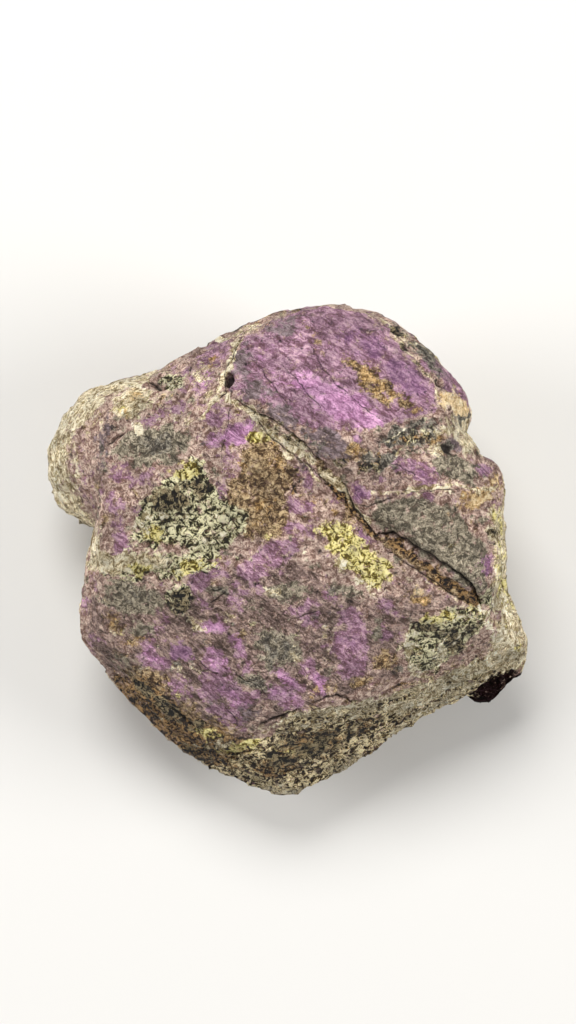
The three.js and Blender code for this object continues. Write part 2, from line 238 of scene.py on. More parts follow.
            (-12.6, -7.4, 1.3, 0.4, 0, 0.6), (-13.4, -8.6, 1.3, 0.8, -20, 0.5),
            # The two patches on the next line, on the lower left of the near bevel, are partly brown grains
            # and partly painted shade.
            (-11.3, -11.0, 2.4, 1.4, -35, 0.9), (-8.4, -13.8, 1.6, 1.6, -40, 0.75),
            (-6.2, -15.0, 2.4, 1.2, -10, 0.72), (-4.2, -14.2, 1.4, 0.5, -20, 0.6),
            (8.3, -9.0, 1.3, 0.9, 0, 0.8), (6.4, -10.6, 1.1, 0.6, 0, 0.75), (2.3, -12.0, 0.9, 0.4, 90, 0.7),
            (9.3, -13.5, 1.1, 0.8, 20, 0.6), (3.7, -11.0, 0.9, 0.6, 0, 0.62),
            (10.8, -3.4, 1.1, 0.7, 0, 0.6), (-3.5, -6.6, 1.0, 0.5, 0, 0.55), (-6.9, -7.6, 0.9, 0.6, 0, 0.5),
            (10.0, -10.6, 1.4, 0.8, 20, 0.4), (14.0, 1.6, 1.6, 0.8, -40, 0.35),
            (12.4, -1.2, 0.9, 0.3, -35, 0.6), (1.6, 3.0, 0.9, 0.5, 0, 0.5), (3.4, 2.4, 1.2, 0.7, -20, 0.5),
            (8.8, 8.0, 1.1, 0.6, 20, 0.5),
        ],
        "strokes": [
            ([(8.2, 1.0), (9.8, -0.1), (11.6, -1.4), (13.6, -2.8), (15.8, -4.2)], 0.42, 1.0),
            ([(2.4, 7.6), (3.6, 6.4), (4.4, 5.2), (5.4, 3.6), (6.4, 2.4)], 0.4, 0.9),
            ([(5.2, 4.2), (7.0, 1.6), (8.8, 0.4)], 0.28, 0.75),
        ],
    },
    "umber": {
        "strokes": [
            ([(8.2, 1.2), (9.8, 0.3), (11.8, -1.1), (13.8, -2.6), (15.6, -4.1)], 0.35, 0.75),
            ([(3.4, 6.0), (4.8, 4.3), (5.8, 3.1), (7.2, 1.7)], 0.25, 0.8),
        ],
        # The area on the lower left of the near bevel is partly dark umber grains and partly painted shade.
        "areas": [
            ([(-14.6, -10.2), (-11.6, -10.0), (-9.4, -11.6), (-8.0, -13.4), (-5.6, -14.9), (-2.8, -15.3),
              (-2.8, -16.6), (-6.0, -18.2), (-9.6, -17.4), (-12.4, -14.6), (-15.2, -12.0)], 0.85),
        ],
        "patches": [
            (8.4, -8.9, 1.0, 0.6, 0, 0.5), (12.6, -1.9, 2.6, 0.35, -35, 0.6),
            (14.8, -3.6, 1.2, 0.3, -38, 0.6), (0.8, 5.6, 0.9, 0.4, 70, 0.6), (4.8, 4.0, 1.2, 0.3, -50, 0.6),
            (-1.2, 3.4, 1.6, 0.6, 70, 0.5), (9.8, -14.0, 1.2, 0.5, 25, 0.6),
            (5.4, -16.4, 1.4, 0.4, 25, 0.5), (-14.2, -5.8, 0.7, 0.5, 80, 0.5),
            (2.0, -16.0, 3.4, 1.3, 16, 0.75), (6.0, -14.7, 2.8, 0.7, 24, 0.62),
            (-0.6, -17.8, 2.6, 1.0, 5, 0.62), (-4.6, -17.8, 2.2, 0.8, -5, 0.55),
            (7.0, 7.4, 1.3, 0.7, 20, 0.6), (10.0, 9.2, 1.8, 0.6, 15, 0.7), (2.6, 3.4, 1.0, 0.4, -40, 0.45),
            (9.3, -10.9, 1.1, 0.4, 10, 0.6), (12.4, -9.9, 1.2, 0.3, 20, 0.55),
            (-3.6, 6.4, 0.9, 0.5, 60, 0.4), (8.6, 13.4, 1.4, 0.4, -45, 0.45), (-9.8, 2.4, 0.5, 0.4, 0, 0.6),
        ],
    },
    "golden": {
        "areas": [
            ([(4.8, 16.1), (6.7, 15.3), (7.6, 14.4), (9.0, 12.9), (10.4, 12.5), (9.8, 12.0), (8.0, 12.4),
              (6.9, 13.2), (6.1, 13.9), (5.9, 14.8), (4.9, 15.2)], 0.74),
        ],
        "patches": [
            (-0.6, 7.4, 1.1, 0.8, -50, 0.62), (-2.0, 4.0, 0.9, 0.7, 60, 0.55),
            (-2.2, 2.6, 0.9, 0.6, 80, 0.55), (-3.6, 7.0, 0.7, 0.9, 0, 0.5), (-1.6, 9.2, 1.0, 0.5, -40, 0.6),
            (2.5, 17.4, 0.9, 0.4, 100, 0.6), (5.6, 8.1, 0.6, 0.7, 0, 0.7), (12.4, 9.4, 0.9, 0.5, 20, 0.7),
            (11.0, 11.8, 0.6, 0.5, 0, 0.8), (-6.2, 15.7, 0.6, 0.7, 0, 0.62),
            (-1.7, 18.9, 0.7, 0.35, 15, 0.6), (15.6, 4.6, 1.6, 0.9, 30, 0.95),
            (17.0, 6.2, 0.7, 0.4, 30, 0.75), (11.0, -3.7, 1.0, 0.6, 10, 0.72),
            (-14.3, -5.7, 1.0, 0.6, 80, 0.5), (-12.2, -7.3, 1.0, 0.3, 10, 0.55),
            (-5.6, -14.6, 1.6, 0.6, -15, 0.6), (8.5, -9.1, 0.7, 0.5, 0, 0.6),
            (6.3, -10.7, 0.7, 0.4, 0, 0.6), (11.2, -8.3, 0.9, 0.5, 80, 0.72),
            (9.2, -13.4, 0.8, 0.5, 30, 0.6), (2.4, -11.8, 0.7, 0.3, 90, 0.7),
            (-14.0, -10.0, 0.8, 0.3, 0, 0.4), (14.0, 2.6, 1.6, 0.35, -35, 0.6),
            (13.4, 3.6, 1.3, 0.25, -35, 0.6), (-10.6, 10.0, 0.9, 0.5, 0, 0.4),
            (-7.6, 10.4, 0.7, 0.5, 0, 0.45), (3.6, 3.6, 0.9, 0.5, 0, 0.5), (2.4, 4.4, 0.6, 0.5, 0, 0.55),
            (12.6, -2.2, 0.6, 0.3, -35, 0.6),
        ],
    },
    "grey_green": {
        "areas": [
            ([(6.8, 2.6), (7.0, 3.9), (8.6, 4.6), (10.4, 4.7), (12.4, 4.4), (13.8, 3.6), (15.2, 2.2),
              (16.4, 0.4), (16.5, -2.8), (15.8, -3.7), (13.4, -1.5), (11.0, 0.0), (9.2, 1.4),
              (7.8, 1.8)], 0.9),
        ],
        "patches": [
            (-11.0, 8.8, 3.4, 1.6, 8, 0.95), (-13.5, 8.5, 1.4, 0.9, 10, 0.62),
            (-13.6, 11.0, 1.2, 0.7, 70, 0.55), (-9.0, 9.4, 1.6, 1.0, 20, 0.62),
            (14.0, 6.9, 2.2, 1.2, -20, 0.9), (10.0, 8.2, 1.2, 0.5, 20, 0.7),
            (14.2, 11.2, 1.0, 0.9, -60, 0.8), (11.7, 16.8, 1.5, 0.6, -45, 0.9),
            (-0.6, -7.6, 2.0, 1.4, -20, 0.85), (-2.8, -10.4, 1.7, 0.8, -15, 0.85),
            (-1.2, -9.0, 1.2, 0.8, -30, 0.75), (4.9, -3.2, 1.9, 0.7, -20, 0.72),
            (0.3, -3.2, 1.9, 1.1, 0, 0.68), (2.4, -0.9, 1.1, 0.7, 0, 0.55),
            (7.4, -6.3, 1.1, 0.6, 100, 0.78), (-5.5, -3.1, 1.0, 0.6, 20, 0.8),
            (-14.0, -3.2, 1.6, 1.0, 0, 0.62), (-12.6, -3.7, 3.0, 1.5, -8, 0.9),
            (-12.0, -6.4, 1.3, 0.8, 0, 0.75), (-13.0, -9.2, 1.9, 0.9, -20, 0.5),
            (3.7, -9.8, 0.9, 0.6, 80, 0.5), (-2.6, -4.6, 1.2, 0.7, -20, 0.5),
            (-0.4, -4.9, 1.0, 0.4, -20, 0.5), (3.2, -6.9, 0.9, 0.6, 0, 0.45),
            (10.6, 10.9, 1.3, 0.4, 10, 0.6),
        ],
    },
    "slate": {
        "areas": [
            ([(9.0, 19.2), (10.4, 17.9), (12.2, 16.2), (13.4, 14.9), (12.8, 14.4), (11.4, 15.8),
              (10.0, 17.2), (8.6, 18.4)], 0.85),
            # The second area, on the lower left of the near bevel, is partly slate grains and partly painted
            # shade.
            ([(-13.6, -10.8), (-11.4, -10.6), (-9.8, -11.6), (-8.6, -13.2), (-7.4, -14.8), (-6.8, -16.4),
              (-8.2, -18.0), (-10.6, -16.0), (-13.4, -13.0)], 0.3),
        ],
        "patches": [
            (14.4, 11.0, 0.9, 1.4, 0, 0.75), (13.2, 8.6, 0.8, 0.6, -30, 0.8),
            (-10.4, 14.0, 0.9, 0.4, -10, 0.8), (-15.2, 8.6, 2.2, 0.3, 88, 0.6),
            (-8.6, -3.6, 1.2, 0.9, 100, 0.7), (-12.4, -3.4, 1.8, 0.8, -8, 0.55),
            (-0.8, -7.7, 1.6, 1.1, -20, 0.6), (-2.6, -10.6, 1.5, 0.6, -15, 0.68),
            (-1.0, -9.2, 0.9, 0.5, -30, 0.55), (-5.4, -3.0, 0.8, 0.5, 20, 0.62),
            (7.5, -6.3, 0.9, 0.4, 100, 0.6), (4.4, -3.3, 1.5, 0.5, -20, 0.5),
            (-7.6, -9.0, 0.9, 0.5, -30, 0.55), (-9.4, -9.4, 0.7, 0.5, 0, 0.5),
            (-4.2, -5.6, 1.0, 0.4, 0, 0.5), (2.2, 9.0, 1.9, 0.6, -38, 0.55),
            (-3.6, 12.9, 1.2, 0.3, -35, 0.5), (7.4, 7.6, 1.9, 0.9, 10, 0.75),
            (10.2, 9.6, 2.6, 1.1, 15, 0.98), (1.2, 6.0, 0.8, 0.3, 70, 0.5),
            (-10.6, 8.9, 2.2, 0.9, 10, 0.62), (8.8, -9.6, 1.2, 0.4, 15, 0.55),
            (13.4, -8.6, 1.3, 0.5, 20, 0.5), (-6.0, -12.9, 0.9, 0.4, -35, 0.5),
            (-4.0, -11.2, 0.9, 0.3, -40, 0.5), (3.6, -12.9, 2.0, 0.5, 10, 0.35),
            (-6.9, -7.3, 1.0, 0.3, -40, 0.5),
        ],
    },
    "granular": {
        "areas": [
            ([(-12.6, 2.4), (-11.8, 4.6), (-10.6, 5.6), (-8.6, 6.9), (-7.4, 8.2), (-6.3, 7.4), (-6.1, 5.6),
              (-4.3, 4.2), (-3.1, 3.2), (-3.4, 1.8), (-4.6, 0.6), (-6.2, -0.9), (-8.0, -0.4), (-9.0, 0.8),
              (-10.5, 0.6), (-12.8, 0.8)], 0.92),
            ([(-16.2, -0.2), (-13, 0.3), (-9.4, 0.2), (-6, -0.4), (-5.4, -1.4), (-8.2, -2.0), (-12.4, -2.3),
              (-15.4, -1.9)], 0.8),
            ([(9.8, -6.6), (10.8, -5.4), (13, -4.6), (15.6, -4.2), (16.8, -5.0), (16.2, -6.8), (14.6, -8.0),
              (13.4, -9.0), (12.2, -10.0), (10.2, -9.6), (9.5, -8.4)], 0.88),
            ([(8.0, 9.2), (9.4, 10.6), (11.6, 11.2), (12.6, 10.4), (11.8, 9.2), (11.3, 7.4), (10.4, 8.4),
              (9.0, 8.4)], 0.4),
        ],
        "patches": [
            (-8.8, -3.5, 1.5, 1.1, 100, 0.8), (-8.3, -5.2, 0.9, 0.6, 0, 0.55),
            (16.8, -3.4, 1.0, 0.9, 0, 0.7), (7.0, 7.0, 1.6, 0.7, 20, 0.45), (6.6, 5.8, 1.1, 0.5, 0, 0.45),
            (-9.4, 14.2, 1.5, 0.6, -5, 0.85), (-12.0, 11.8, 0.9, 1.0, 0, 0.5),
            (17.0, 1.9, 0.8, 0.5, 90, 0.7), (-11.4, 12.2, 0.9, 0.6, 0, 0.5),
            (-3.0, -0.2, 1.8, 0.4, 10, 0.4), (-10.4, -7.6, 0.6, 0.4, 0, 0.4),
            (15.6, 8.2, 1.2, 0.4, -35, 0.6), (-3.0, -5.8, 1.2, 0.4, 0, 0.55), (0.3, -6.9, 0.5, 0.4, 0, 0.5),
            (13.6, 10.2, 0.9, 0.5, -20, 0.5),
        ],
    },
    "crumb": {
        "areas": [
            ([(0.4, -13.0), (3.2, -12.6), (6.4, -12.5), (8.4, -11.8), (11.4, -10.6), (14.6, -9.4),
              (17.2, -8.0), (20.4, -8.6), (17.8, -10.8), (14.8, -12.9), (10.2, -15.2), (6.0, -18.2),
              (3.0, -20.6), (0, -21.5), (-4.6, -20.4), (-9.0, -18.6), (-9.6, -16.6), (-8.0, -15.6),
              (-5.0, -15.6), (-2.4, -15.8), (-0.8, -14.6)], 0.95),
        ],
    },
    "cream": {
        "areas": [
            ([(-11, 15.8), (-15, 15.4), (-19.4, 12.6), (-21.6, 7.5), (-21.2, 4.6), (-17.6, 1.0),
              (-16.0, -0.4), (-15.2, 0.6), (-15.6, 2.2), (-17.0, 4.4), (-17.9, 6.4), (-17.9, 8.8),
              (-16.7, 10.8), (-15.3, 12.3), (-13.4, 13.4), (-11.2, 14.1)], 0.95),
            ([(16.8, 4.2), (19.0, 3.0), (19.4, -0.5), (20.0, -3), (20.5, -5.5), (21.0, -9), (19.4, -9.9),
              (17.4, -10.0), (16.0, -9.6), (16.9, -7.6), (17.5, -5.6), (17.5, -2.8), (17.2, -0.2),
              (16.8, 1.2), (16.5, 2.6)], 0.9),
            ([(-3.4, 12.1), (-2.3, 11.6), (-1.5, 11.2), (0.3, 9.9), (1.6, 8.8), (2.4, 7.9), (1.8, 7.2),
              (0.9, 7.9), (-0.6, 9.0), (-1.9, 10.2)], 1.0),
        ],
        "patches": [
            (-12.7, 12.5, 1.9, 1.2, 20, 0.85), (-17.4, 7.6, 3.6, 0.7, 92, 0.5),
            (-15.6, 10.8, 1.4, 0.7, 60, 0.55), (-11.2, 13.2, 1.2, 0.5, 30, 0.6),
            (13.1, 10.3, 1.3, 0.8, 20, 0.75), (14.6, 9.5, 1.0, 0.7, -40, 0.8),
            (15.2, 8.7, 0.9, 0.4, -40, 0.75), (12.2, 8.5, 1.0, 0.6, 0, 0.6),
            (9.8, 17.9, 0.9, 0.4, -40, 0.7), (13.5, 11.8, 0.7, 0.5, -50, 0.6),
            (12.9, 5.0, 1.2, 0.4, -20, 0.55), (16.4, 5.2, 1.0, 0.5, 0, 0.5),
            (-6.0, 13.2, 0.7, 0.5, 40, 0.7), (-4.7, 12.8, 0.8, 0.4, -20, 0.75),
            (-15.3, -3.6, 1.3, 0.35, 110, 0.6), (-14.6, -6.8, 0.9, 0.4, 120, 0.45),
            # The patches on this line and the next, on the right part of the near bevel, are partly cream
            # rind and partly painted light.
            (13.2, -11.0, 3.0, 0.9, 24, 0.5), (15.8, -9.6, 2.4, 0.8, 26, 0.55),
            (10.4, -12.6, 1.8, 0.5, 26, 0.5), (-0.6, -19.6, 1.4, 0.4, 0, 0.6),
            (3.4, -13.2, 1.6, 0.4, 8, 0.75), (6.6, -13.0, 1.4, 0.4, 14, 0.75),
            (-1.5, -14.4, 0.9, 0.35, 25, 0.7), (3.6, -6.3, 0.8, 0.5, -30, 0.55),
            (-1.0, -3.2, 0.7, 0.5, 0, 0.55), (-11.3, -9.3, 1.0, 0.3, -40, 0.5),
            (-7.6, -5.6, 1.3, 0.35, -35, 0.7), (-9.0, -9.9, 1.2, 0.3, -40, 0.7),
            (-4.6, -5.0, 1.2, 0.3, 10, 0.6), (-7.2, -9.7, 1.2, 0.3, -45, 0.65),
            (-2.0, -6.0, 1.4, 0.3, -20, 0.55), (1.0, -8.6, 1.3, 0.3, -50, 0.6),
            (3.4, -8.4, 1.2, 0.3, 80, 0.6), (2.0, -3.4, 1.2, 0.3, 0, 0.55),
            (-8.6, -12.3, 1.2, 0.3, -45, 0.7), (-5.6, -16.0, 1.6, 0.4, 10, 0.75),
            (-11.0, -13.6, 1.2, 0.3, -45, 0.5), (-5.2, -17.0, 1.4, 0.4, 20, 0.5),
            (5.2, -18.4, 1.6, 0.4, 35, 0.6), (9.0, -15.0, 2.4, 0.4, 30, 0.6),
            (8.3, -12.0, 0.9, 0.5, 0, 0.6), (-11.2, 1.9, 1.3, 0.6, -10, 0.6),
            (-10.4, 3.1, 1.1, 0.4, 10, 0.45), (6.4, -2.7, 1.0, 0.3, -10, 0.6),
            (4.5, -1.1, 0.8, 0.5, -30, 0.55), (7.0, 5.4, 0.9, 0.3, 20, 0.55),
            (-12.0, 1.0, 0.8, 0.4, 0, 0.5), (3.4, 7.0, 0.6, 0.3, -30, 0.7), (-12.1, 0.0, 1.0, 0.4, 0, 0.5),
            (-10.2, -0.8, 1.0, 0.4, 0, 0.5), (-7.0, 14.9, 1.8, 1.1, 30, 0.5),
            (-9.0, 11.0, 1.8, 0.8, 0, 0.42), (0.0, -13.8, 1.2, 0.45, 30, 0.7),
            (-14.0, -0.8, 2.2, 1.1, 0, 1.0), (-11.6, -0.6, 2.4, 0.8, 0, 0.9),
        ],
        "strokes": [
            ([(-3.5, 18.0), (-4.2, 16.6), (-4.8, 15.4), (-5.1, 14.2), (-5.6, 13.4)], 0.22, 0.95),
            ([(-5.5, 17.6), (-4.4, 18.2), (-3.6, 18.6), (-2.4, 18.6)], 0.22, 0.75),
            ([(-4.4, 12.6), (-3.4, 12.1), (-2.6, 11.6), (-1.8, 10.8)], 0.24, 0.95),
            ([(-5.3, 13.0), (-6.4, 12.0), (-7.2, 11.2)], 0.18, 0.8),
            ([(-12.6, 11.8), (-12.0, 10.6), (-12.2, 9.8)], 0.3, 0.66),
            ([(6.4, 20.0), (7.8, 19.2), (9.2, 17.7), (10.4, 16.1), (11.8, 14.6), (12.5, 13.0),
              (13.0, 12.2)], 0.12, 0.75),
            ([(7.0, 4.7), (9.5, 5.3), (12.5, 5.5), (15.4, 5.3), (17.0, 5.4)], 0.18, 0.85),
            ([(3.0, 7.0), (4.4, 5.6), (5.4, 4.2), (6.6, 2.7)], 0.26, 0.85),
            ([(-3.2, 11.9), (-1.6, 9.9), (1.0, 7.7), (3.0, 6.0)], 0.16, 0.85),
            ([(9.8, -1.0), (12.4, -2.6), (14.4, -4.0)], 0.14, 0.5),
            ([(14.6, 10.8), (15.2, 9.8), (15.2, 9.0)], 0.3, 0.75),
            ([(10.2, -7.6), (10.0, -8.8), (10.4, -9.8), (11.8, -10.2)], 0.25, 0.6),
            ([(12.4, -9.2), (13.0, -8.0), (12.4, -7.2)], 0.25, 0.55),
            # The strokes on this line and the next four, on the right part of the near bevel and the right
            # rim, are partly cream rind and partly painted light on the side lit from the right.
            ([(8.6, -13.2), (10.6, -12.5), (13.2, -11.4), (15.4, -10.2), (17.8, -8.8)], 0.3, 0.9),
            ([(10.6, -13.6), (13.4, -12.2), (16.0, -10.8), (18.6, -9.4)], 0.22, 0.9),
            ([(5.4, -12.9), (8.0, -12.3), (10.8, -11.3), (13.6, -10.3), (16.0, -9.0)], 0.22, 0.75),
            ([(16.6, -4.8), (17.4, -6.4), (18.0, -8.2)], 0.25, 0.9),
            ([(17.2, -2.6), (18.0, -5.0), (18.9, -7.4)], 0.25, 0.9),
            ([(0.6, -13.6), (2.4, -13.1), (4.4, -12.9)], 0.25, 0.8),
            ([(-1.0, -15.4), (1.0, -14.4), (3.6, -14.0)], 0.15, 0.6),
            ([(-6.4, -19.0), (-3.0, -19.9), (0.4, -20.4), (3.0, -19.6), (6.0, -17.4)], 0.3, 0.6),
        ],
    },
    "yellow": {
        "patches": [
            (4.9, 0.9, 2.3, 1.25, -38, 1.0), (6.7, -0.95, 2.4, 1.3, -28, 1.0),
            (5.0, -0.4, 1.0, 0.7, 0, 0.9), (-2.4, 9.5, 1.1, 0.6, 0, 0.85), (-8.0, 6.8, 1.4, 0.8, 30, 0.85),
            (-10.8, 1.7, 1.1, 0.6, -20, 0.85), (-12.0, -1.3, 0.8, 0.5, 0, 1.0),
            (-8.1, -1.2, 1.2, 0.6, 20, 0.95), (-6.0, -0.8, 0.6, 0.4, 0, 0.6),
            (17.6, 2.2, 1.6, 0.4, 95, 0.8), (18.1, -1.9, 3.2, 0.7, 97, 0.7), (12.8, -5.3, 1.6, 0.6, 8, 0.8),
            (15.3, -5.1, 0.8, 0.6, 60, 0.6), (19.2, -8.0, 0.8, 0.5, 30, 0.6),
            (18.4, -5.2, 1.8, 0.4, 95, 0.6), (-3.6, -16.1, 2.0, 0.6, 15, 0.78),
            (-6.6, -15.0, 1.3, 0.4, -15, 0.66), (-9.0, -11.7, 0.9, 0.3, -40, 0.5),
            (-0.6, -16.4, 1.4, 0.5, 0, 0.5), (-1.4, 1.3, 0.9, 0.5, 20, 0.5),
            (-13.2, -6.8, 0.8, 0.4, 0, 0.5), (-13.6, 12.0, 0.7, 0.5, 0, 0.6),
            (-12.8, -1.6, 0.9, 0.3, 0, 0.5), (-7.4, -5.8, 0.5, 0.5, 0, 0.5),
            (13.8, 0.6, 0.8, 0.3, -60, 0.4), (10.9, -7.8, 0.5, 0.5, 0, 0.5),
        ],
    },
    "tan": {
        "patches": [
            (-12.6, 13.0, 1.0, 0.7, -10, 0.56), (13.7, 12.5, 1.3, 0.8, -35, 1.0),
            (-13.4, 11.8, 0.7, 0.5, 0, 0.6), (12.9, 13.0, 0.6, 0.4, -40, 0.7),
            (15.8, 4.5, 0.8, 0.55, 40, 0.95), (17.0, 6.0, 0.5, 0.3, 30, 0.7),
            (10.8, -2.9, 0.5, 0.4, 0, 0.7), (4.4, -17.0, 1.2, 0.6, 25, 0.5), (-9.6, 13.0, 1.0, 0.3, 0, 0.4),
            (14.1, 11.9, 0.7, 0.7, -40, 0.95), (9.4, -13.5, 0.9, 0.45, 30, 0.6),
        ],
    },
    "chalk": {
        "strokes": [
            # The strokes on this line and the next seven, on the right rim and the right part of the near
            # bevel, are partly pale fringes and partly painted light on the side lit from the right.
            ([(15.9, -4.3), (16.6, -5.6), (17.2, -7.2), (17.8, -8.6)], 0.12, 0.95),
            ([(16.8, -3.2), (17.6, -5.0), (18.2, -6.8), (19.0, -8.4)], 0.12, 0.95),
            ([(17.4, -1.0), (17.9, -3.0), (18.6, -5.2), (19.4, -7.6)], 0.12, 0.9),
            ([(17.2, 2.6), (17.9, 0.6), (18.3, -1.4), (18.8, -3.4)], 0.12, 0.9),
            ([(8.2, -12.9), (10.4, -12.2), (12.6, -11.2), (14.8, -10.0), (17.2, -8.4)], 0.1, 0.95),
            ([(9.4, -13.4), (12.0, -12.2), (14.6, -11.0), (16.8, -9.6), (18.6, -8.6)], 0.12, 0.95),
            ([(10.8, -13.8), (13.6, -12.4), (16.2, -11.0)], 0.1, 0.85),
            ([(4.0, -12.9), (5.8, -12.6), (7.4, -12.2), (9.4, -11.4), (11.4, -10.9)], 0.1, 0.85),
            ([(-1.6, -14.3), (0.2, -13.7), (2.0, -13.0), (3.4, -12.8)], 0.1, 0.85),
            ([(0.8, -14.6), (3.0, -14.0), (5.4, -13.8), (7.6, -13.0)], 0.08, 0.8),
            ([(12.2, -7.9), (13.0, -7.0), (13.4, -6.2)], 0.09, 0.95),
            ([(12.9, -8.2), (13.9, -7.2), (14.6, -6.4)], 0.09, 0.9),
            ([(10.2, -6.4), (9.9, -7.6), (10.1, -8.8), (11.0, -9.6)], 0.13, 0.95),
            ([(12.6, -9.4), (13.0, -8.6), (12.6, -7.8)], 0.1, 0.9),
            ([(13.8, -5.4), (15.2, -5.2), (16.4, -5.8)], 0.09, 0.8),
            ([(-20.0, 7.0), (-19.4, 9.4), (-18.2, 11.4), (-16.4, 13.0)], 0.1, 0.85),
            ([(-19.0, 4.0), (-19.2, 6.8), (-18.4, 9.2)], 0.1, 0.8),
            ([(-17.8, 2.6), (-18.8, 5.0), (-19.6, 7.4)], 0.1, 0.8),
            ([(-14.0, 13.8), (-12.6, 14.0), (-11.4, 13.4), (-11.2, 12.4)], 0.1, 0.85),
            ([(-13.8, 12.0), (-13.0, 11.4), (-12.2, 10.4)], 0.1, 0.8),
            ([(7.4, 8.6), (8.6, 9.4), (10.0, 10.4)], 0.08, 0.8),
            ([(8.8, 7.8), (9.8, 8.6), (11.0, 9.8), (12.2, 10.2)], 0.08, 0.8),
        ],
        "patches": [
            (-12.0, 2.3, 0.5, 0.18, -30, 1.0), (-10.3, 3.0, 0.5, 0.35, 0, 0.75),
            (-9.2, 2.2, 0.7, 0.3, 20, 0.6), (-8.4, 2.9, 0.4, 0.3, 0, 0.7), (-6.1, 2.0, 0.35, 0.25, 0, 0.8),
            (-7.1, 1.1, 0.9, 0.4, 0, 0.8), (-11.6, 3.0, 0.7, 0.5, 60, 0.75), (-5.0, 1.9, 0.6, 0.4, 0, 0.75),
            (-5.6, 3.0, 0.4, 0.3, 0, 0.65), (-7.9, 0.2, 0.8, 0.3, 10, 0.55),
            (-7.6, 7.4, 0.5, 0.35, 30, 0.6), (-9.3, 14.1, 0.9, 0.3, 0, 0.6),
            (-0.9, 9.8, 0.9, 0.3, -42, 0.8), (0.6, 8.7, 0.7, 0.25, -42, 0.7),
            (2.6, 7.2, 0.6, 0.2, -42, 0.7), (4.2, 7.2, 0.5, 0.2, -30, 0.5), (13.4, 10.4, 0.8, 0.3, 10, 0.6),
            (14.9, 9.2, 0.5, 0.3, -40, 0.6), (-0.6, -3.2, 0.6, 0.3, 0, 0.5), (0.9, -7.5, 0.3, 0.2, 0, 0.7),
            (3.4, -6.2, 0.5, 0.3, 0, 0.5), (10.4, -7.6, 1.0, 0.4, 75, 0.75),
            (12.6, -8.4, 0.7, 0.4, 40, 0.75), (11.2, -9.8, 0.9, 0.3, 0, 0.6),
            (4.6, -0.9, 0.7, 0.35, -45, 0.8), (6.4, -2.5, 1.1, 0.35, -14, 0.8),
            # The patches on this line and the next, on the right rim and the right part of the near bevel,
            # are partly pale fringes and partly painted light.
            (17.9, -6.4, 1.8, 0.2, 75, 0.8), (18.4, -3.4, 1.6, 0.2, 95, 0.7),
            (12.6, -11.6, 2.4, 0.2, 25, 0.8), (15.8, -8.2, 1.8, 0.15, 20, 0.5),
            (3.4, -13.4, 1.4, 0.3, 5, 0.5), (7.0, -12.9, 1.2, 0.3, 15, 0.5),
        ],
    },
    "black": {
        "areas": [
            ([(-1.5, -15.6), (2.0, -14.6), (6.0, -13.9), (8.4, -13.5), (6.4, -15.4), (3.0, -17.4),
              (-0.5, -18.4), (-2.6, -17.0)], 0.58),
        ],
        "patches": [
            (-9.6, 4.4, 2.0, 1.1, 6, 0.85), (-7.0, 5.3, 1.3, 0.6, 15, 0.8), (-8.0, 3.9, 0.9, 0.5, 0, 0.6),
            (-10.9, 3.7, 0.5, 0.5, 0, 0.75), (-6.4, 1.6, 1.3, 0.5, 10, 0.8), (-8.6, 2.7, 0.5, 0.8, 0, 0.75),
            (11.8, -6.3, 1.3, 0.6, -30, 0.85), (13.7, -7.2, 1.4, 0.9, -30, 0.85),
            (15.2, -6.2, 1.0, 0.5, 0, 0.7), (10.6, 9.6, 1.1, 0.5, 10, 0.75), (8.6, 9.6, 0.6, 0.4, 0, 0.6),
            (-8.7, -3.9, 1.3, 0.9, 100, 0.85), (7.0, 6.9, 1.2, 0.5, 20, 0.7),
            (4.3, 7.3, 0.6, 0.4, -30, 0.8), (0.5, 9.3, 0.35, 0.12, -42, 0.9),
            (12.7, 14.1, 0.8, 0.25, -35, 0.95), (8.9, 18.3, 0.5, 0.3, -45, 0.95),
            (9.7, 17.0, 0.35, 0.22, -45, 0.95), (11.0, 15.6, 0.5, 0.15, -50, 0.8),
            (1.9, 8.1, 0.4, 0.12, -42, 0.9), (3.1, 6.9, 0.35, 0.15, -42, 0.9),
            (17.1, 2.1, 0.5, 0.3, 90, 0.9), (2.2, -16.2, 2.0, 0.9, 14, 0.8),
            (-5.6, -15.6, 1.0, 0.4, 0, 0.5), (4.8, -15.2, 1.8, 0.5, 20, 0.7),
            (3.6, -18.2, 1.4, 0.4, 30, 0.6), (-0.4, -17.6, 1.8, 0.6, 0, 0.66),
            # The patches on this line and the next, on the lower left of the near bevel, are partly black
            # grains and partly painted shade.
            (-9.9, -12.9, 1.6, 0.7, -45, 0.75), (-11.6, -11.4, 1.8, 0.5, -42, 0.85),
            (-7.6, -14.3, 0.8, 0.5, 0, 0.85), (-9.4, -13.4, 1.3, 0.5, -45, 0.8),
            (-7.0, -16.8, 1.6, 0.4, -30, 0.7), (7.6, -14.0, 1.5, 0.4, 25, 0.62),
            (-8.4, -16.4, 1.4, 0.4, -60, 0.6), (17.2, -9.9, 1.2, 0.3, 20, 0.4),
            (-1.6, 10.9, 0.5, 0.2, -40, 0.7), (-0.5, 10.5, 0.6, 0.25, -40, 0.85),
            (5.7, 0.1, 0.35, 0.25, 0, 0.8), (6.5, -0.7, 0.4, 0.2, -30, 0.8), (7.4, -1.5, 0.35, 0.2, 0, 0.8),
            (4.6, 1.4, 0.3, 0.2, 0, 0.7), (5.9, -1.5, 0.35, 0.2, 0, 0.7), (-9.6, 4.6, 1.3, 0.7, 10, 0.95),
            (-10.4, 3.7, 0.7, 0.5, 0, 0.9), (-8.6, 5.6, 0.8, 0.5, 20, 0.8), (2.6, -15.8, 1.4, 0.5, 18, 0.8),
        ],
    },
}

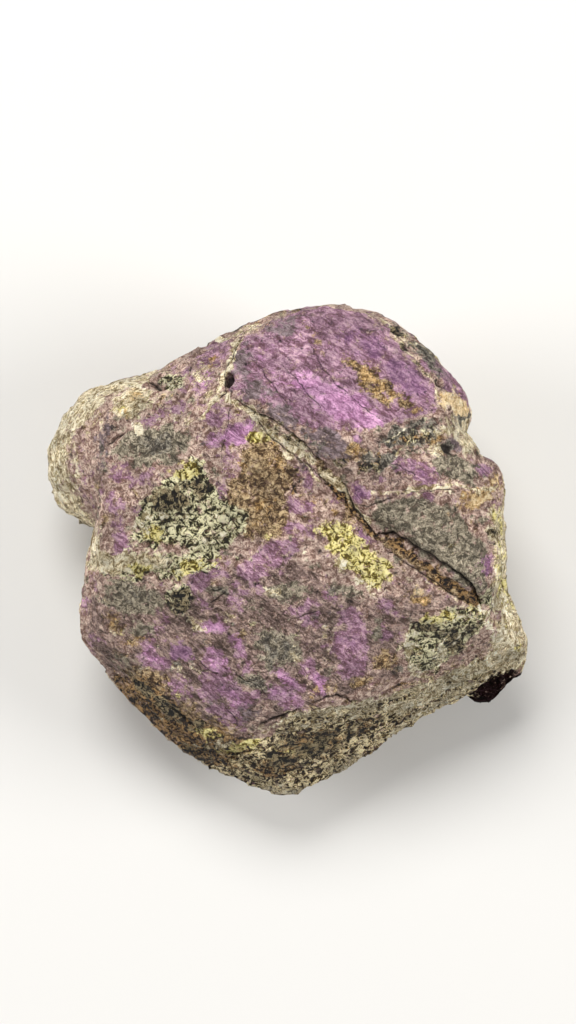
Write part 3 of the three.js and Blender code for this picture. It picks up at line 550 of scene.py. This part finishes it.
# Cracks and holes: the points, the half width and the depth, in millimetres. They are cut into the surface,
# and their openings are also painted dark as shade.
CRACKS = [
    ([(-15.0, 8.7), (-14.2, 9.3), (-13.6, 9.8), (-13.0, 10.1)], 0.08, 0.25),
    ([(-11.4, 14.4), (-10.9, 14.0), (-10.3, 13.5)], 0.12, 0.4),
    ([(-3.7, 17.9), (-4.3, 16.4), (-5.0, 15.0), (-4.9, 13.2), (-5.7, 12.6), (-6.8, 11.3)], 0.05, 0.2),
    ([(-4.5, 12.6), (-4.7, 11.6), (-4.8, 10.4), (-5.3, 8.4), (-5.2, 6.2)], 0.035, 0.08),
    ([(-4.5, 13.0), (-2.7, 11.5), (-1.7, 11.2), (-0.1, 10.2), (1.3, 9.1), (2.0, 8.3), (3.0, 7.5),
      (4.0, 6.8)], 0.07, 0.3),
    ([(-2.7, 11.5), (-1.9, 10.2), (-0.7, 9.1), (1.1, 7.7), (2.4, 6.8), (3.4, 5.6), (4.7, 4.3),
      (5.7, 3.1), (7.2, 1.6)], 0.05, 0.2),
    ([(4.3, 6.2), (4.7, 5.6), (5.5, 3.7), (6.3, 2.9), (7.4, 1.4)], 0.09, 0.3),
    ([(7.4, 1.6), (8.6, 1.6), (9.7, 1.0), (10.9, 0.2), (12.4, -0.7), (14.1, -1.7), (15.2, -2.7),
      (16.1, -4.3)], 0.15, 0.5),
    ([(8.0, 0.6), (9.3, -0.4), (10.7, -1.3), (12.0, -2.2), (13.5, -3.3), (14.8, -3.9),
      (15.9, -4.5)], 0.06, 0.2),
    ([(1.6, 18.0), (3.0, 15.2), (4.4, 13.6), (6.0, 12.3), (8.4, 10.5)], 0.04, 0.12),
    ([(-0.6, 15.8), (0.8, 14.4), (2.2, 12.6), (3.6, 11.2)], 0.05, 0.12),
    ([(-3.0, 16.6), (-1.8, 14.8), (-0.6, 13.2), (0.8, 11.6)], 0.05, 0.1),
    ([(8.8, 7.5), (9.5, 7.0), (10.4, 6.5), (10.6, 6.1)], 0.05, 0.12),
    ([(5.6, 4.0), (6.8, 3.8), (8.0, 4.3), (8.6, 4.6)], 0.06, 0.15),
    ([(9.0, 5.6), (10.4, 5.0), (12.4, 5.2), (14.8, 5.4), (17.6, 5.3)], 0.035, 0.08),
    ([(-6.2, -2.6), (-5.8, -3.0), (-5.0, -2.8)], 0.07, 0.15),
    ([(-6.3, -4.0), (-5.6, -3.6), (-5.0, -3.2)], 0.05, 0.12),
    ([(0.8, -5.4), (1.8, -5.0), (2.8, -4.6)], 0.05, 0.12),
    ([(-2.3, -14.3), (-1.2, -13.8), (-0.2, -13.5), (1.2, -12.8)], 0.08, 0.3),
    ([(-4.9, -17.4), (-4.0, -16.9), (-3.2, -16.6), (-2.0, -16.3)], 0.06, 0.2),
    ([(2.3, -12.4), (3.2, -12.0), (4.2, -11.8), (5.2, -12.2), (6.2, -12.2)], 0.07, 0.25),
    ([(-9.8, -12.6), (-8.8, -13.4), (-7.8, -14.4)], 0.05, 0.15),
    ([(-6.0, -12.2), (-5.0, -12.8), (-4.2, -13.8), (-4.0, -14.8)], 0.04, 0.1),
    ([(-3.6, -10.0), (-2.4, -9.0), (-1.8, -7.8)], 0.04, 0.08),
    ([(-7.6, -8.6), (-6.4, -9.6), (-5.2, -10.2)], 0.04, 0.1),
    ([(-4.6, -9.4), (-3.6, -10.4), (-2.2, -11.0), (-1.4, -12.0)], 0.05, 0.12),
    ([(12.9, 9.0), (13.2, 8.3), (13.9, 8.1)], 0.09, 0.3),
    ([(13.9, 13.8), (14.3, 13.2), (14.8, 12.8)], 0.06, 0.2),
    ([(8.9, 18.4), (9.6, 18.0)], 0.14, 0.4),
    ([(9.6, 17.1), (10.2, 16.8)], 0.1, 0.3),
    ([(10.6, 16.2), (11.2, 15.2), (11.8, 14.6)], 0.06, 0.2),
]
HOLES = [
    (-4.62, 14.2, 0.62, 0.28, 80, 0.9),
    (13.0, 13.8, 0.8, 0.32, -30, 0.8),
    (8.9, 18.3, 0.5, 0.25, -45, 0.5),
    (13.2, 8.6, 0.5, 0.35, -30, 0.4),
    (0.9, 6.9, 0.4, 0.15, 50, 0.2),
]


def coverage(x, y, mineral, ragged):
    """How much of each point the mineral covers, from 0 to 1, fading out over its borders."""
    covered = np.zeros(len(x))
    for *place, strength in mineral.get("patches", []):
        depth = patch_depth(x, y, *place) + ragged
        covered = np.maximum(covered, strength * smooth_step(-0.6, 0.6, depth))
    for points, half_width, strength in mineral.get("strokes", []):
        depth = half_width - line_distance(x, y, points)[0] + 0.4 * ragged
        covered = np.maximum(covered, strength * smooth_step(-0.15, 0.12, depth))
    for corners, strength in mineral.get("areas", []):
        depth = area_depth(x, y, corners) + ragged
        covered = np.maximum(covered, strength * smooth_step(-0.7, 0.8, depth))
    return covered


# The surface


def noise_shift(seed):
    """Where in the noise a pattern starts, so that no two patterns match."""
    return Vector((seed * 3.17, seed * 5.71, seed * 1.93))


def noise_at(points, size, seed):
    """Smooth noise of about -1 to 1 at points in millimetres, with lumps of the given size."""
    shift = noise_shift(seed)
    return np.array([noise.noise(Vector(p) / size + shift) for p in points])


def fractal_at(points, size, octaves, seed):
    shift = noise_shift(seed)
    return np.array([noise.fractal(Vector(p) / size + shift, 0.8, 2.1, octaves) for p in points])


def grains_at(points, size, seed):
    """Rounded grains of the given size: 1 at a grain's middle, about 0 between grains."""
    shift = noise_shift(seed)
    gaps = np.array([noise.voronoi(Vector(p) / size + shift)[0][:2] for p in points])
    return np.clip((gaps[:, 1] - gaps[:, 0]) * 1.6, 0, 1)


def chips_at(points, size, seed):
    """Flat chips of about the given size, each with a tilt of its own, as on broken rock."""
    heights = np.empty(len(points))
    shift = noise_shift(seed)
    for i, p in enumerate(points):
        place = Vector(p) / size + shift
        seedpoint = noise.voronoi(place)[1][0]
        tilt = noise.noise_vector(seedpoint * 7.3)
        heights[i] = tilt.dot(place - seedpoint) + 0.35 * noise.noise(seedpoint * 3.1)
    return heights


def split_faces(mesh, chosen):
    """Splits once the faces whose middles and normals are chosen."""
    fine = bmesh.new()
    fine.from_mesh(mesh)
    middles = np.array([face.calc_center_median() for face in fine.faces]) / MM
    normals = np.array([face.normal for face in fine.faces])
    picked = chosen(middles, normals)
    edges = {edge for face, pick in zip(fine.faces, picked) if pick for edge in face.edges}
    bmesh.ops.subdivide_edges(fine, edges=list(edges), cuts=1, use_grid_fill=True)
    fine.to_mesh(mesh)
    fine.free()


def by_a_crack(middles, normals):
    near = np.zeros(len(middles), bool)
    for points, half_width, _ in CRACKS:
        near |= line_distance(middles[:, 0], middles[:, 1], points)[0] < half_width + 0.22
    return near & (normals[:, 2] > FACE_TILT)


def fine_copy(solid):
    """A fine, even mesh of the solid, with the side that looks up split finer still."""
    mesh = solid.data.copy()
    loose = bmesh.new()
    loose.from_mesh(mesh)
    bmesh.ops.remove_doubles(loose, verts=loose.verts, dist=1e-6)
    loose.to_mesh(mesh)
    loose.free()
    piece = bpy.data.objects.new("purpurite_rock", mesh)
    bpy.context.scene.collection.objects.link(piece)
    remesh = piece.modifiers.new("even mesh", "REMESH")
    remesh.mode = "VOXEL"
    remesh.voxel_size = VOXEL * MM
    blend = piece.modifiers.new("blended facets", "SMOOTH")
    blend.factor = 0.5
    blend.iterations = SMOOTHINGS
    ready = piece.evaluated_get(bpy.context.evaluated_depsgraph_get())
    piece.data = bpy.data.meshes.new_from_object(ready)
    piece.modifiers.clear()
    split_faces(piece.data, lambda middles, normals: normals[:, 2] > FACE_TILT)
    split_faces(piece.data, by_a_crack)
    return piece


def read_vertices(mesh):
    points = np.empty(len(mesh.vertices) * 3)
    normals = np.empty(len(mesh.vertices) * 3)
    mesh.vertices.foreach_get("co", points)
    mesh.vertices.foreach_get("normal", normals)
    return points.reshape(-1, 3) / MM, normals.reshape(-1, 3)


def write_attribute(mesh, name, values):
    mesh.attributes.new(name, "FLOAT", "POINT").data.foreach_set("value", values.astype(np.float32))


def minerals_of(points, normals):
    """Coverage of each mineral at each point: painted on the face, scattered over the rest."""
    face = smooth_step(0.02, 0.25, normals[:, 2])
    wander = [0.45 * noise_at(points, 1.7, seed) + 0.3 * noise_at(points, 0.6, seed + 5) for seed in (1, 2)]
    ragged = 0.3 * noise_at(points, 0.45, 9)
    x = points[:, 0] + wander[0]
    y = points[:, 1] + wander[1]
    broad = [fractal_at(points, 6.0, 4, seed) for seed in (11, 12, 13, 14, 15)]
    specks = [fractal_at(points, 1.6, 3, seed) for seed in (16, 17, 18, 19)]
    left = np.clip(-normals[:, 0], 0, 1)
    right = np.clip(normals[:, 0], 0, 1)
    near = np.clip(-normals[:, 1], 0, 1)
    far = np.clip(normals[:, 1], 0, 1)
    block = smooth_step(-7.0, -3.0, x)
    rind = np.maximum(left, right) + 0.9 * broad[3] + 0.4 * far * (1 - block)
    scattered = {
        "purple": 0.9 * smooth_step(0.0, 0.45, broad[0] + 0.5 * far * block - 0.2 * near),
        "mauve": 0.8 * smooth_step(-0.1, 0.5, broad[1]),
        "violet_grey": 0.8 * smooth_step(0.1, 0.5, broad[1] + 0.2 * far),
        "brown": 0.8 * smooth_step(0.0, 0.5, broad[2] + 0.2 * far),
        "golden": 0.5 * smooth_step(0.3, 0.7, broad[2]),
        "grey_green": 0.7 * smooth_step(0.1, 0.5, broad[3]),
        "granular": 0.7 * smooth_step(0.2, 0.55, broad[4]),
        "crumb": 0.95 * smooth_step(0.3, 0.8, near + 0.3 * broad[1]),
        "cream": 0.95 * smooth_step(0.3, 0.75, rind),
        "umber": 0.8 * smooth_step(0.1, 0.4, broad[4] - 0.2),
        "slate": 0.7 * smooth_step(0.15, 0.45, broad[2] - 0.2),
        "yellow": 0.5 * smooth_step(0.5, 0.9, right + 0.5 * broad[4]),
    }
    strewn = {
        "mauve": 0.6 * smooth_step(-0.2, 0.5, specks[0]),
        "purple": 0.55 * smooth_step(0.0, 0.6, -specks[0]),
        "brown": 0.65 * smooth_step(0.0, 0.6, specks[1]),
        "grey_green": 0.65 * smooth_step(0.0, 0.6, specks[2]),
        "cream": 0.5 * smooth_step(0.2, 0.7, specks[3]),
    }
    painted = {name: coverage(x, y, mineral, ragged) for name, mineral in MINERALS.items()}
    bare = 1 - np.max(list(painted.values()), axis=0)
    blotches = 1 + 0.3 * noise_at(points, 1.1, 41)
    covered = {}
    # A coverage of 0.35 starts to show a mineral at the middle of the border noise, and 0.75 hides
    # what is under it.
    for name, values in painted.items():
        drawn = np.maximum(values, strewn.get(name, 0.0) * bare)
        shown = face * drawn + (1 - face) * scattered.get(name, 0.0)
        covered[name] = np.clip(2.0 * shown * blotches - 0.5, -0.35, 1.0)
    fragment = patch_depth(x, y, 17.6, -11.6, 2.9, 1.4, 35) - np.maximum(points[:, 2] - 8.6, 0)
    covered["fragment"] = smooth_step(-0.2, 0.3, fragment)
    return covered


def shape_surface(piece):
    """Moves the fine mesh in and out along its normals, and keeps each point's minerals as attributes."""
    mesh = piece.data
    points, normals = read_vertices(mesh)
    covered = minerals_of(points, normals)
    x, y = points[:, 0], points[:, 1]
    up = smooth_step(0.15, 0.45, normals[:, 2])
    crumbly = np.clip(covered["crumb"] + covered["granular"] + 0.7 * covered["cream"], 0, 1)
    smooth_face = np.clip(covered["purple"] + covered["violet_grey"] - crumbly, 0, 1)

    relief = 0.22 * chips_at(points, 3.4, 31) * (1 - 0.6 * smooth_face) * (2.2 - 1.2 * up)
    relief += 0.12 * noise_at(points, 1.3, 32) * (1 - 0.5 * smooth_face)
    relief += 0.12 * fractal_at(points, 0.6, 3, 33) * (0.35 + 0.65 * crumbly)
    relief += 0.2 * (grains_at(points, 0.7, 34) - 0.5) * crumbly
    relief += 0.5 * chips_at(points, 2.1, 39) * covered["fragment"]

    # Layers in the rock, level with the face: they show as ridges round the steep sides.
    level = points[:, 2] + 0.5 * noise_at(points, 3.0, 35) + 0.12 * noise_at(points, 0.7, 36)
    layers = np.sin(level / 0.85 * 2 * math.pi) + 0.6 * np.sin(level / 0.37 * 2 * math.pi)
    relief += 0.07 * layers * smooth_step(0.2, 0.6, 1 - np.abs(normals[:, 2]))

    # Fine cleavage steps run across the face, from the far left to the near right.
    across = 0.62 * x + 0.78 * y + 0.35 * noise_at(points, 2.2, 37)
    steps = np.abs(((across / 1.15 + 0.4 * noise_at(points, 3.1, 38)) % 1.0) - 0.5)
    relief += 0.09 * steps * up

    # Cracks wander a little and taper to their ends.
    jagged = [
        0.14 * noise_at(points, 0.7, seed) + 0.06 * noise_at(points, 0.25, seed + 2)
        for seed in (21, 22)
    ]
    opened = np.zeros(len(x))
    depth = np.zeros(len(x))
    for line, half_width, deep in CRACKS:
        distance, along = line_distance(x + jagged[0], y + jagged[1], line)
        gap = distance / (half_width * (1.1 - 0.9 * np.abs(2 * along - 1) ** 3))
        opened = np.maximum(opened, np.clip(1 - 0.5 * gap, 0, 1))
        depth = np.maximum(depth, deep * np.exp(-0.5 * gap**2))
    for *place, deep in HOLES:
        inside = smooth_step(-0.12, 0.15, patch_depth(x + jagged[0], y + jagged[1], *place))
        opened = np.maximum(opened, inside)
        depth = np.maximum(depth, deep * inside)
    relief -= depth * up
    # Painted shade: the openings of the cracks and holes are marked here, to be darkened in the material.
    covered["crack"] = opened * up
    covered["coarse"] = 0.35 + 0.65 * crumbly

    flat = smooth_step(0.05, 0.6, points[:, 2])
    points += normals * (relief * flat)[:, None]
    points[:, 2] = np.maximum(points[:, 2], 0.0)
    mesh.vertices.foreach_set("co", (points * MM).ravel())
    mesh.update()
    for name, values in covered.items():
        write_attribute(mesh, name, values)
    for polygon in mesh.polygons:
        polygon.use_smooth = True


# The material


def node(tree, kind, inputs=None, stops=None, **settings):
    """Adds a node: settings are its properties, inputs its sockets' values or what they are linked from."""
    made = tree.nodes.new(kind)
    for name, value in settings.items():
        setattr(made, name, value)
    for name, value in (inputs or {}).items():
        if isinstance(value, bpy.types.NodeSocket):
            tree.links.new(value, made.inputs[name])
        else:
            made.inputs[name].default_value = value
    if stops:
        ramp = made.color_ramp
        while len(ramp.elements) < len(stops):
            ramp.elements.new(1.0)
        for element, (place, colour) in zip(ramp.elements, stops):
            element.position = place
            element.color = linear(colour)
    return made


# Each mineral's colours, from its darkest grain to its lightest, and the pattern that picks between
# them. A mineral lower in the list lies over those above it.
GROUND = ("grains", "#6a5349 #8c736a #a98f84 #c2aa9e #dfcbbc")
LAYERS = {
    "mauve": ("streaks", "#3a2d26 #5b4a43 #77645d #95807b #bfa99d"),
    "purple": ("streaks", "#644850 #81636e #9a778a #b191a1 #cfb0b8"),
    "violet": ("streaks", "#664860 #7f5d76 #95728b #ab88a0 #c2a0b2"),
    "lilac": ("streaks", "#8c637e #aa829d #c296b4 #d5a9c7 #e7bcd8"),
    "violet_grey": ("streaks", "#4b3f39 #66585a #7a6a6d #90807f #a7979b"),
    "brown": ("grains", "#352517 #5b4735 #7d674f #a0896c #cdb897"),
    "golden": ("grains", "#58412b #806544 #a58860 #c5a67c #e6c8a0"),
    "grey_green": ("grains", "#464036 #635b4d #7b7263 #98907e #c0b5a2"),
    "slate": ("grains", "#2c2722 #464038 #5e5850 #7a746a #a09a8c"),
    "granular": ("grit", "#1d1907 #4a462c #87805e #bfb88f #ebe5c4"),
    "crumb": ("grit", "#1b1006 #48341c #806944 #bfa97c #f5e7c4"),
    "umber": ("grit", "#100805 #28180e #46301f #6c5139 #ab8d69"),
    "cream": ("layers", "#75654a #b2a181 #d8c8a8 #f0e2c4 #fff6de"),
    "yellow": ("grit", "#584a22 #a69657 #cfc27e #e8db98 #f8edb6"),
    "tan": ("grains", "#b39870 #dbbf97 #eed4ad #f8e0b9 #fff0d0"),
    "black": ("grit", "#0c0803 #1d180d #322a1c #584d39 #9f9175"),
    "chalk": ("grit", "#a39574 #cfc19c #e6d9b8 #f3e9cf #fcf5e2"),
    "fragment": ("grains", "#060201 #0c0403 #140706 #1e0f0d #35282b"),
}
SPREAD = (0.395, 0.45, 0.50, 0.55, 0.605)  # where the five colours lie on a pattern's scale
# The near-black painted shade in the openings of cracks and holes.
CRACK_SHADE_COLOUR = "#190f0a"

# A mineral shows where its coverage and a ragged noise together pass the start, and fully at the end.
BORDER_RAGGEDNESS = 4.4
BORDER_START = 2.55
BORDER_END = 2.95
BORDER_SHIFT = 9.7  # moves the noise on from one mineral to the next
GRAIN_TURN = 38  # degrees clockwise from x to the way that the streaks run

# The patterns: what they are drawn on, the noise's size in millimetres, detail, roughness and
# distortion, and how far its contrast is drawn out.
PATTERNS = {
    "streaks": ("drawn_out", 0.6, 5, 0.88, 0.45, 1.1),
    "grains": ("even", 0.5, 5, 0.9, 0.6, 1.4),
    "grit": ("even", 0.5, 3.5, 0.85, 0.8, 2.8),
    "layers": ("layered", 0.5, 5, 0.88, 1.2, 1.7),
}

# Fibres: the noise's size in millimetres, how near its middle value they lie, and how much they
# lighten or darken the pattern.
FIBRES = {
    "pale_hairs": (0.5, 0.026, 0.07),
    "dark_hairs": (0.8, 0.022, -0.07),
    "hairline_cracks": (3.0, 0.005, -0.13),
}


def stops_of(colours):
    """A mineral's five colours, each with its place on the scale."""
    return list(zip(SPREAD, colours.split()))


def purpurite_rock():
    """Weathered purpurite: a manganese phosphate, broken, never polished.

    Fresh purple cleavage has a satin gleam. Round it are dull brown and green-black grains and a
    cream, crumbly rind.
    """
    material = bpy.data.materials.new("weathered_purpurite")
    material.use_nodes = True
    tree = material.node_tree
    shader = tree.nodes["Principled BSDF"]

    place = node(tree, "ShaderNodeTexCoord").outputs["Object"]
    even = node(tree, "ShaderNodeMapping", {"Vector": place, "Scale": (1000, 1000, 1000)}).outputs[0]
    turned = node(tree, "ShaderNodeMapping", {"Vector": even, "Rotation": (0, 0, math.radians(GRAIN_TURN))})
    drawn_out = node(tree, "ShaderNodeMapping", {"Vector": turned.outputs[0], "Scale": (0.36, 1, 1)})
    layered = node(tree, "ShaderNodeMapping", {"Vector": even, "Scale": (0.5, 0.5, 1.4)})
    spaces = {"even": even, "drawn_out": drawn_out.outputs[0], "layered": layered.outputs[0]}

    # Fibres lie where a slow pattern crosses its middle value.
    fibres = 0.0
    for size, reach, strength in FIBRES.values():
        inputs = {"Vector": even, "Scale": 1 / size, "Detail": 2, "Roughness": 0.55, "Distortion": 0.9}
        slow = node(tree, "ShaderNodeTexNoise", inputs).outputs["Fac"]
        off_middle = node(tree, "ShaderNodeMath", {0: slow, 1: 0.5}, operation="SUBTRACT")
        ridge = node(tree, "ShaderNodeMath", {0: off_middle.outputs[0]}, operation="ABSOLUTE")
        inputs = {"Value": ridge.outputs[0], "From Min": reach, "From Max": 0.15 * reach, "To Max": strength}
        fibre = node(tree, "ShaderNodeMapRange", inputs)
        fibres = node(
            tree, "ShaderNodeMath", {0: fibre.outputs[0], 1: fibres}, operation="ADD"
        ).outputs[0]

    values = {}
    for name, (space, size, detail, roughness, distortion, gain) in PATTERNS.items():
        inputs = {
            "Vector": spaces[space],
            "Scale": 1 / size,
            "Detail": detail,
            "Roughness": roughness,
            "Distortion": distortion,
        }
        plain = node(tree, "ShaderNodeTexNoise", inputs).outputs["Fac"]
        drawn = node(
            tree, "ShaderNodeMath", {0: plain, 1: gain, 2: 0.5 - 0.5 * gain}, operation="MULTIPLY_ADD"
        )
        values[name] = node(
            tree, "ShaderNodeMath", {0: drawn.outputs[0], 1: fibres}, operation="ADD"
        ).outputs[0]

    pattern, colours = GROUND
    inputs = {"Fac": values[pattern]}
    colour = node(tree, "ShaderNodeValToRGB", inputs, stops_of(colours)).outputs["Color"]
    for number, (name, (pattern, colours)) in enumerate(LAYERS.items()):
        there = node(tree, "ShaderNodeAttribute", attribute_name=name).outputs["Fac"]
        moved = node(tree, "ShaderNodeMapping", {"Vector": even, "Location": (BORDER_SHIFT * number, 0, 0)})
        border = node(
            tree,
            "ShaderNodeTexNoise",
            {"Vector": moved.outputs[0], "Scale": 1.5, "Detail": 6, "Roughness": 0.78},
        )
        inputs = {0: border.outputs["Fac"], 1: BORDER_RAGGEDNESS, 2: there}
        shown = node(tree, "ShaderNodeMath", inputs, operation="MULTIPLY_ADD")
        inputs = {"Value": shown.outputs[0], "From Min": BORDER_START, "From Max": BORDER_END}
        factor = node(tree, "ShaderNodeMapRange", inputs)
        tint = node(tree, "ShaderNodeValToRGB", {"Fac": values[pattern]}, stops_of(colours))
        colour = node(
            tree,
            "ShaderNodeMix",
            {0: factor.outputs[0], 6: colour, 7: tint.outputs["Color"]},
            data_type="RGBA",
        ).outputs[2]
    clouds = node(
        tree, "ShaderNodeTexNoise", {"Vector": even, "Scale": 0.4, "Detail": 5, "Roughness": 0.65}
    )
    tone = node(
        tree,
        "ShaderNodeMapRange",
        {"Value": clouds.outputs["Fac"], "From Min": 0.38, "From Max": 0.62, "To Min": 0.76, "To Max": 1.24},
    )
    colour = node(
        tree, "ShaderNodeHueSaturation", {"Saturation": 1.18, "Value": tone.outputs[0], "Color": colour}
    ).outputs["Color"]
    # Painted shade: the openings of cracks and holes are darkened towards a near-black colour.
    crack = node(tree, "ShaderNodeAttribute", attribute_name="crack").outputs["Fac"]
    inputs = {"Value": crack, "From Min": 0.35, "From Max": 0.8, "To Max": 0.92}
    dark = node(tree, "ShaderNodeMapRange", inputs)
    colour = node(
        tree, "ShaderNodeMix", {0: dark.outputs[0], 6: colour, 7: linear(CRACK_SHADE_COLOUR)}, data_type="RGBA"
    ).outputs[2]
    tree.links.new(colour, shader.inputs["Base Color"])

    coarse = node(tree, "ShaderNodeAttribute", attribute_name="coarse").outputs["Fac"]
    fine = node(tree, "ShaderNodeMath", {0: values["grains"], 1: values["grit"]}, operation="ADD")
    height = node(tree, "ShaderNodeMath", {0: fine.outputs[0], 1: coarse}, operation="MULTIPLY")
    bump = node(
        tree, "ShaderNodeBump", {"Height": height.outputs[0], "Strength": 0.8, "Distance": 0.0006}
    )
    tree.links.new(bump.outputs["Normal"], shader.inputs["Normal"])
    shader.inputs["Roughness"].default_value = 0.6
    chip = node(tree, "ShaderNodeAttribute", attribute_name="fragment").outputs["Fac"]
    gleam = node(tree, "ShaderNodeMapRange", {"Value": chip, "To Min": 0.35, "To Max": 0.02})
    tree.links.new(gleam.outputs[0], shader.inputs["Specular IOR Level"])
    return material


# The stage


def pale_floor():
    bm = bmesh.new()
    bmesh.ops.create_grid(bm, x_segments=1, y_segments=1, size=1.2)
    mesh = bpy.data.meshes.new("floor")
    bm.to_mesh(mesh)
    bm.free()
    floor = bpy.data.objects.new("floor", mesh)
    bpy.context.scene.collection.objects.link(floor)
    material = bpy.data.materials.new("pale_floor")
    material.use_nodes = True
    shader = material.node_tree.nodes["Principled BSDF"]
    shader.inputs["Base Color"].default_value = linear("#d9d7d3")
    shader.inputs["Roughness"].default_value = 0.8
    mesh.materials.append(material)


def soft_light(name, place, size, power):
    lamp = bpy.data.lights.new(name, "AREA")
    lamp.shape = "DISK"
    lamp.size = size
    lamp.energy = power
    light = bpy.data.objects.new(name, lamp)
    light.location = place
    light.rotation_euler = (Vector((0, 0, 0.01)) - Vector(place)).to_track_quat("-Z", "Y").to_euler()
    bpy.context.scene.collection.objects.link(light)


def studio():
    soft_light("key_softbox", (-0.1, 0.42, 0.6), 0.35, 4.0)
    soft_light("left_softbox", (-0.6, 0.1, 0.35), 0.4, 2.9)
    soft_light("right_softbox", (0.6, 0.0, 0.35), 0.4, 3.5)
    world = bpy.data.worlds.new("studio")
    world.use_nodes = True
    background = world.node_tree.nodes["Background"]
    background.inputs["Color"].default_value = linear("#f4f4f4")
    background.inputs["Strength"].default_value = 0.3
    bpy.context.scene.world = world


def camera():
    lens = SENSOR * CAMERA_DISTANCE / FRAME_HEIGHT
    data = bpy.data.cameras.new("camera")
    data.lens = lens
    data.sensor_width = SENSOR
    data.clip_start = 0.01
    made = bpy.data.objects.new("camera", data)
    made.location = (*PICTURE_MIDDLE, STONE_MIDDLE + CAMERA_DISTANCE)
    bpy.context.scene.collection.objects.link(made)
    bpy.context.scene.camera = made


bpy.context.scene.view_settings.view_transform = "Standard"

stone = fine_copy(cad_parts["purpurite_stone"])
shape_surface(stone)
stone.data.materials.clear()
stone.data.materials.append(purpurite_rock())
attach(stone, "root")
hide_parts("purpurite_stone")

pale_floor()
studio()
camera()
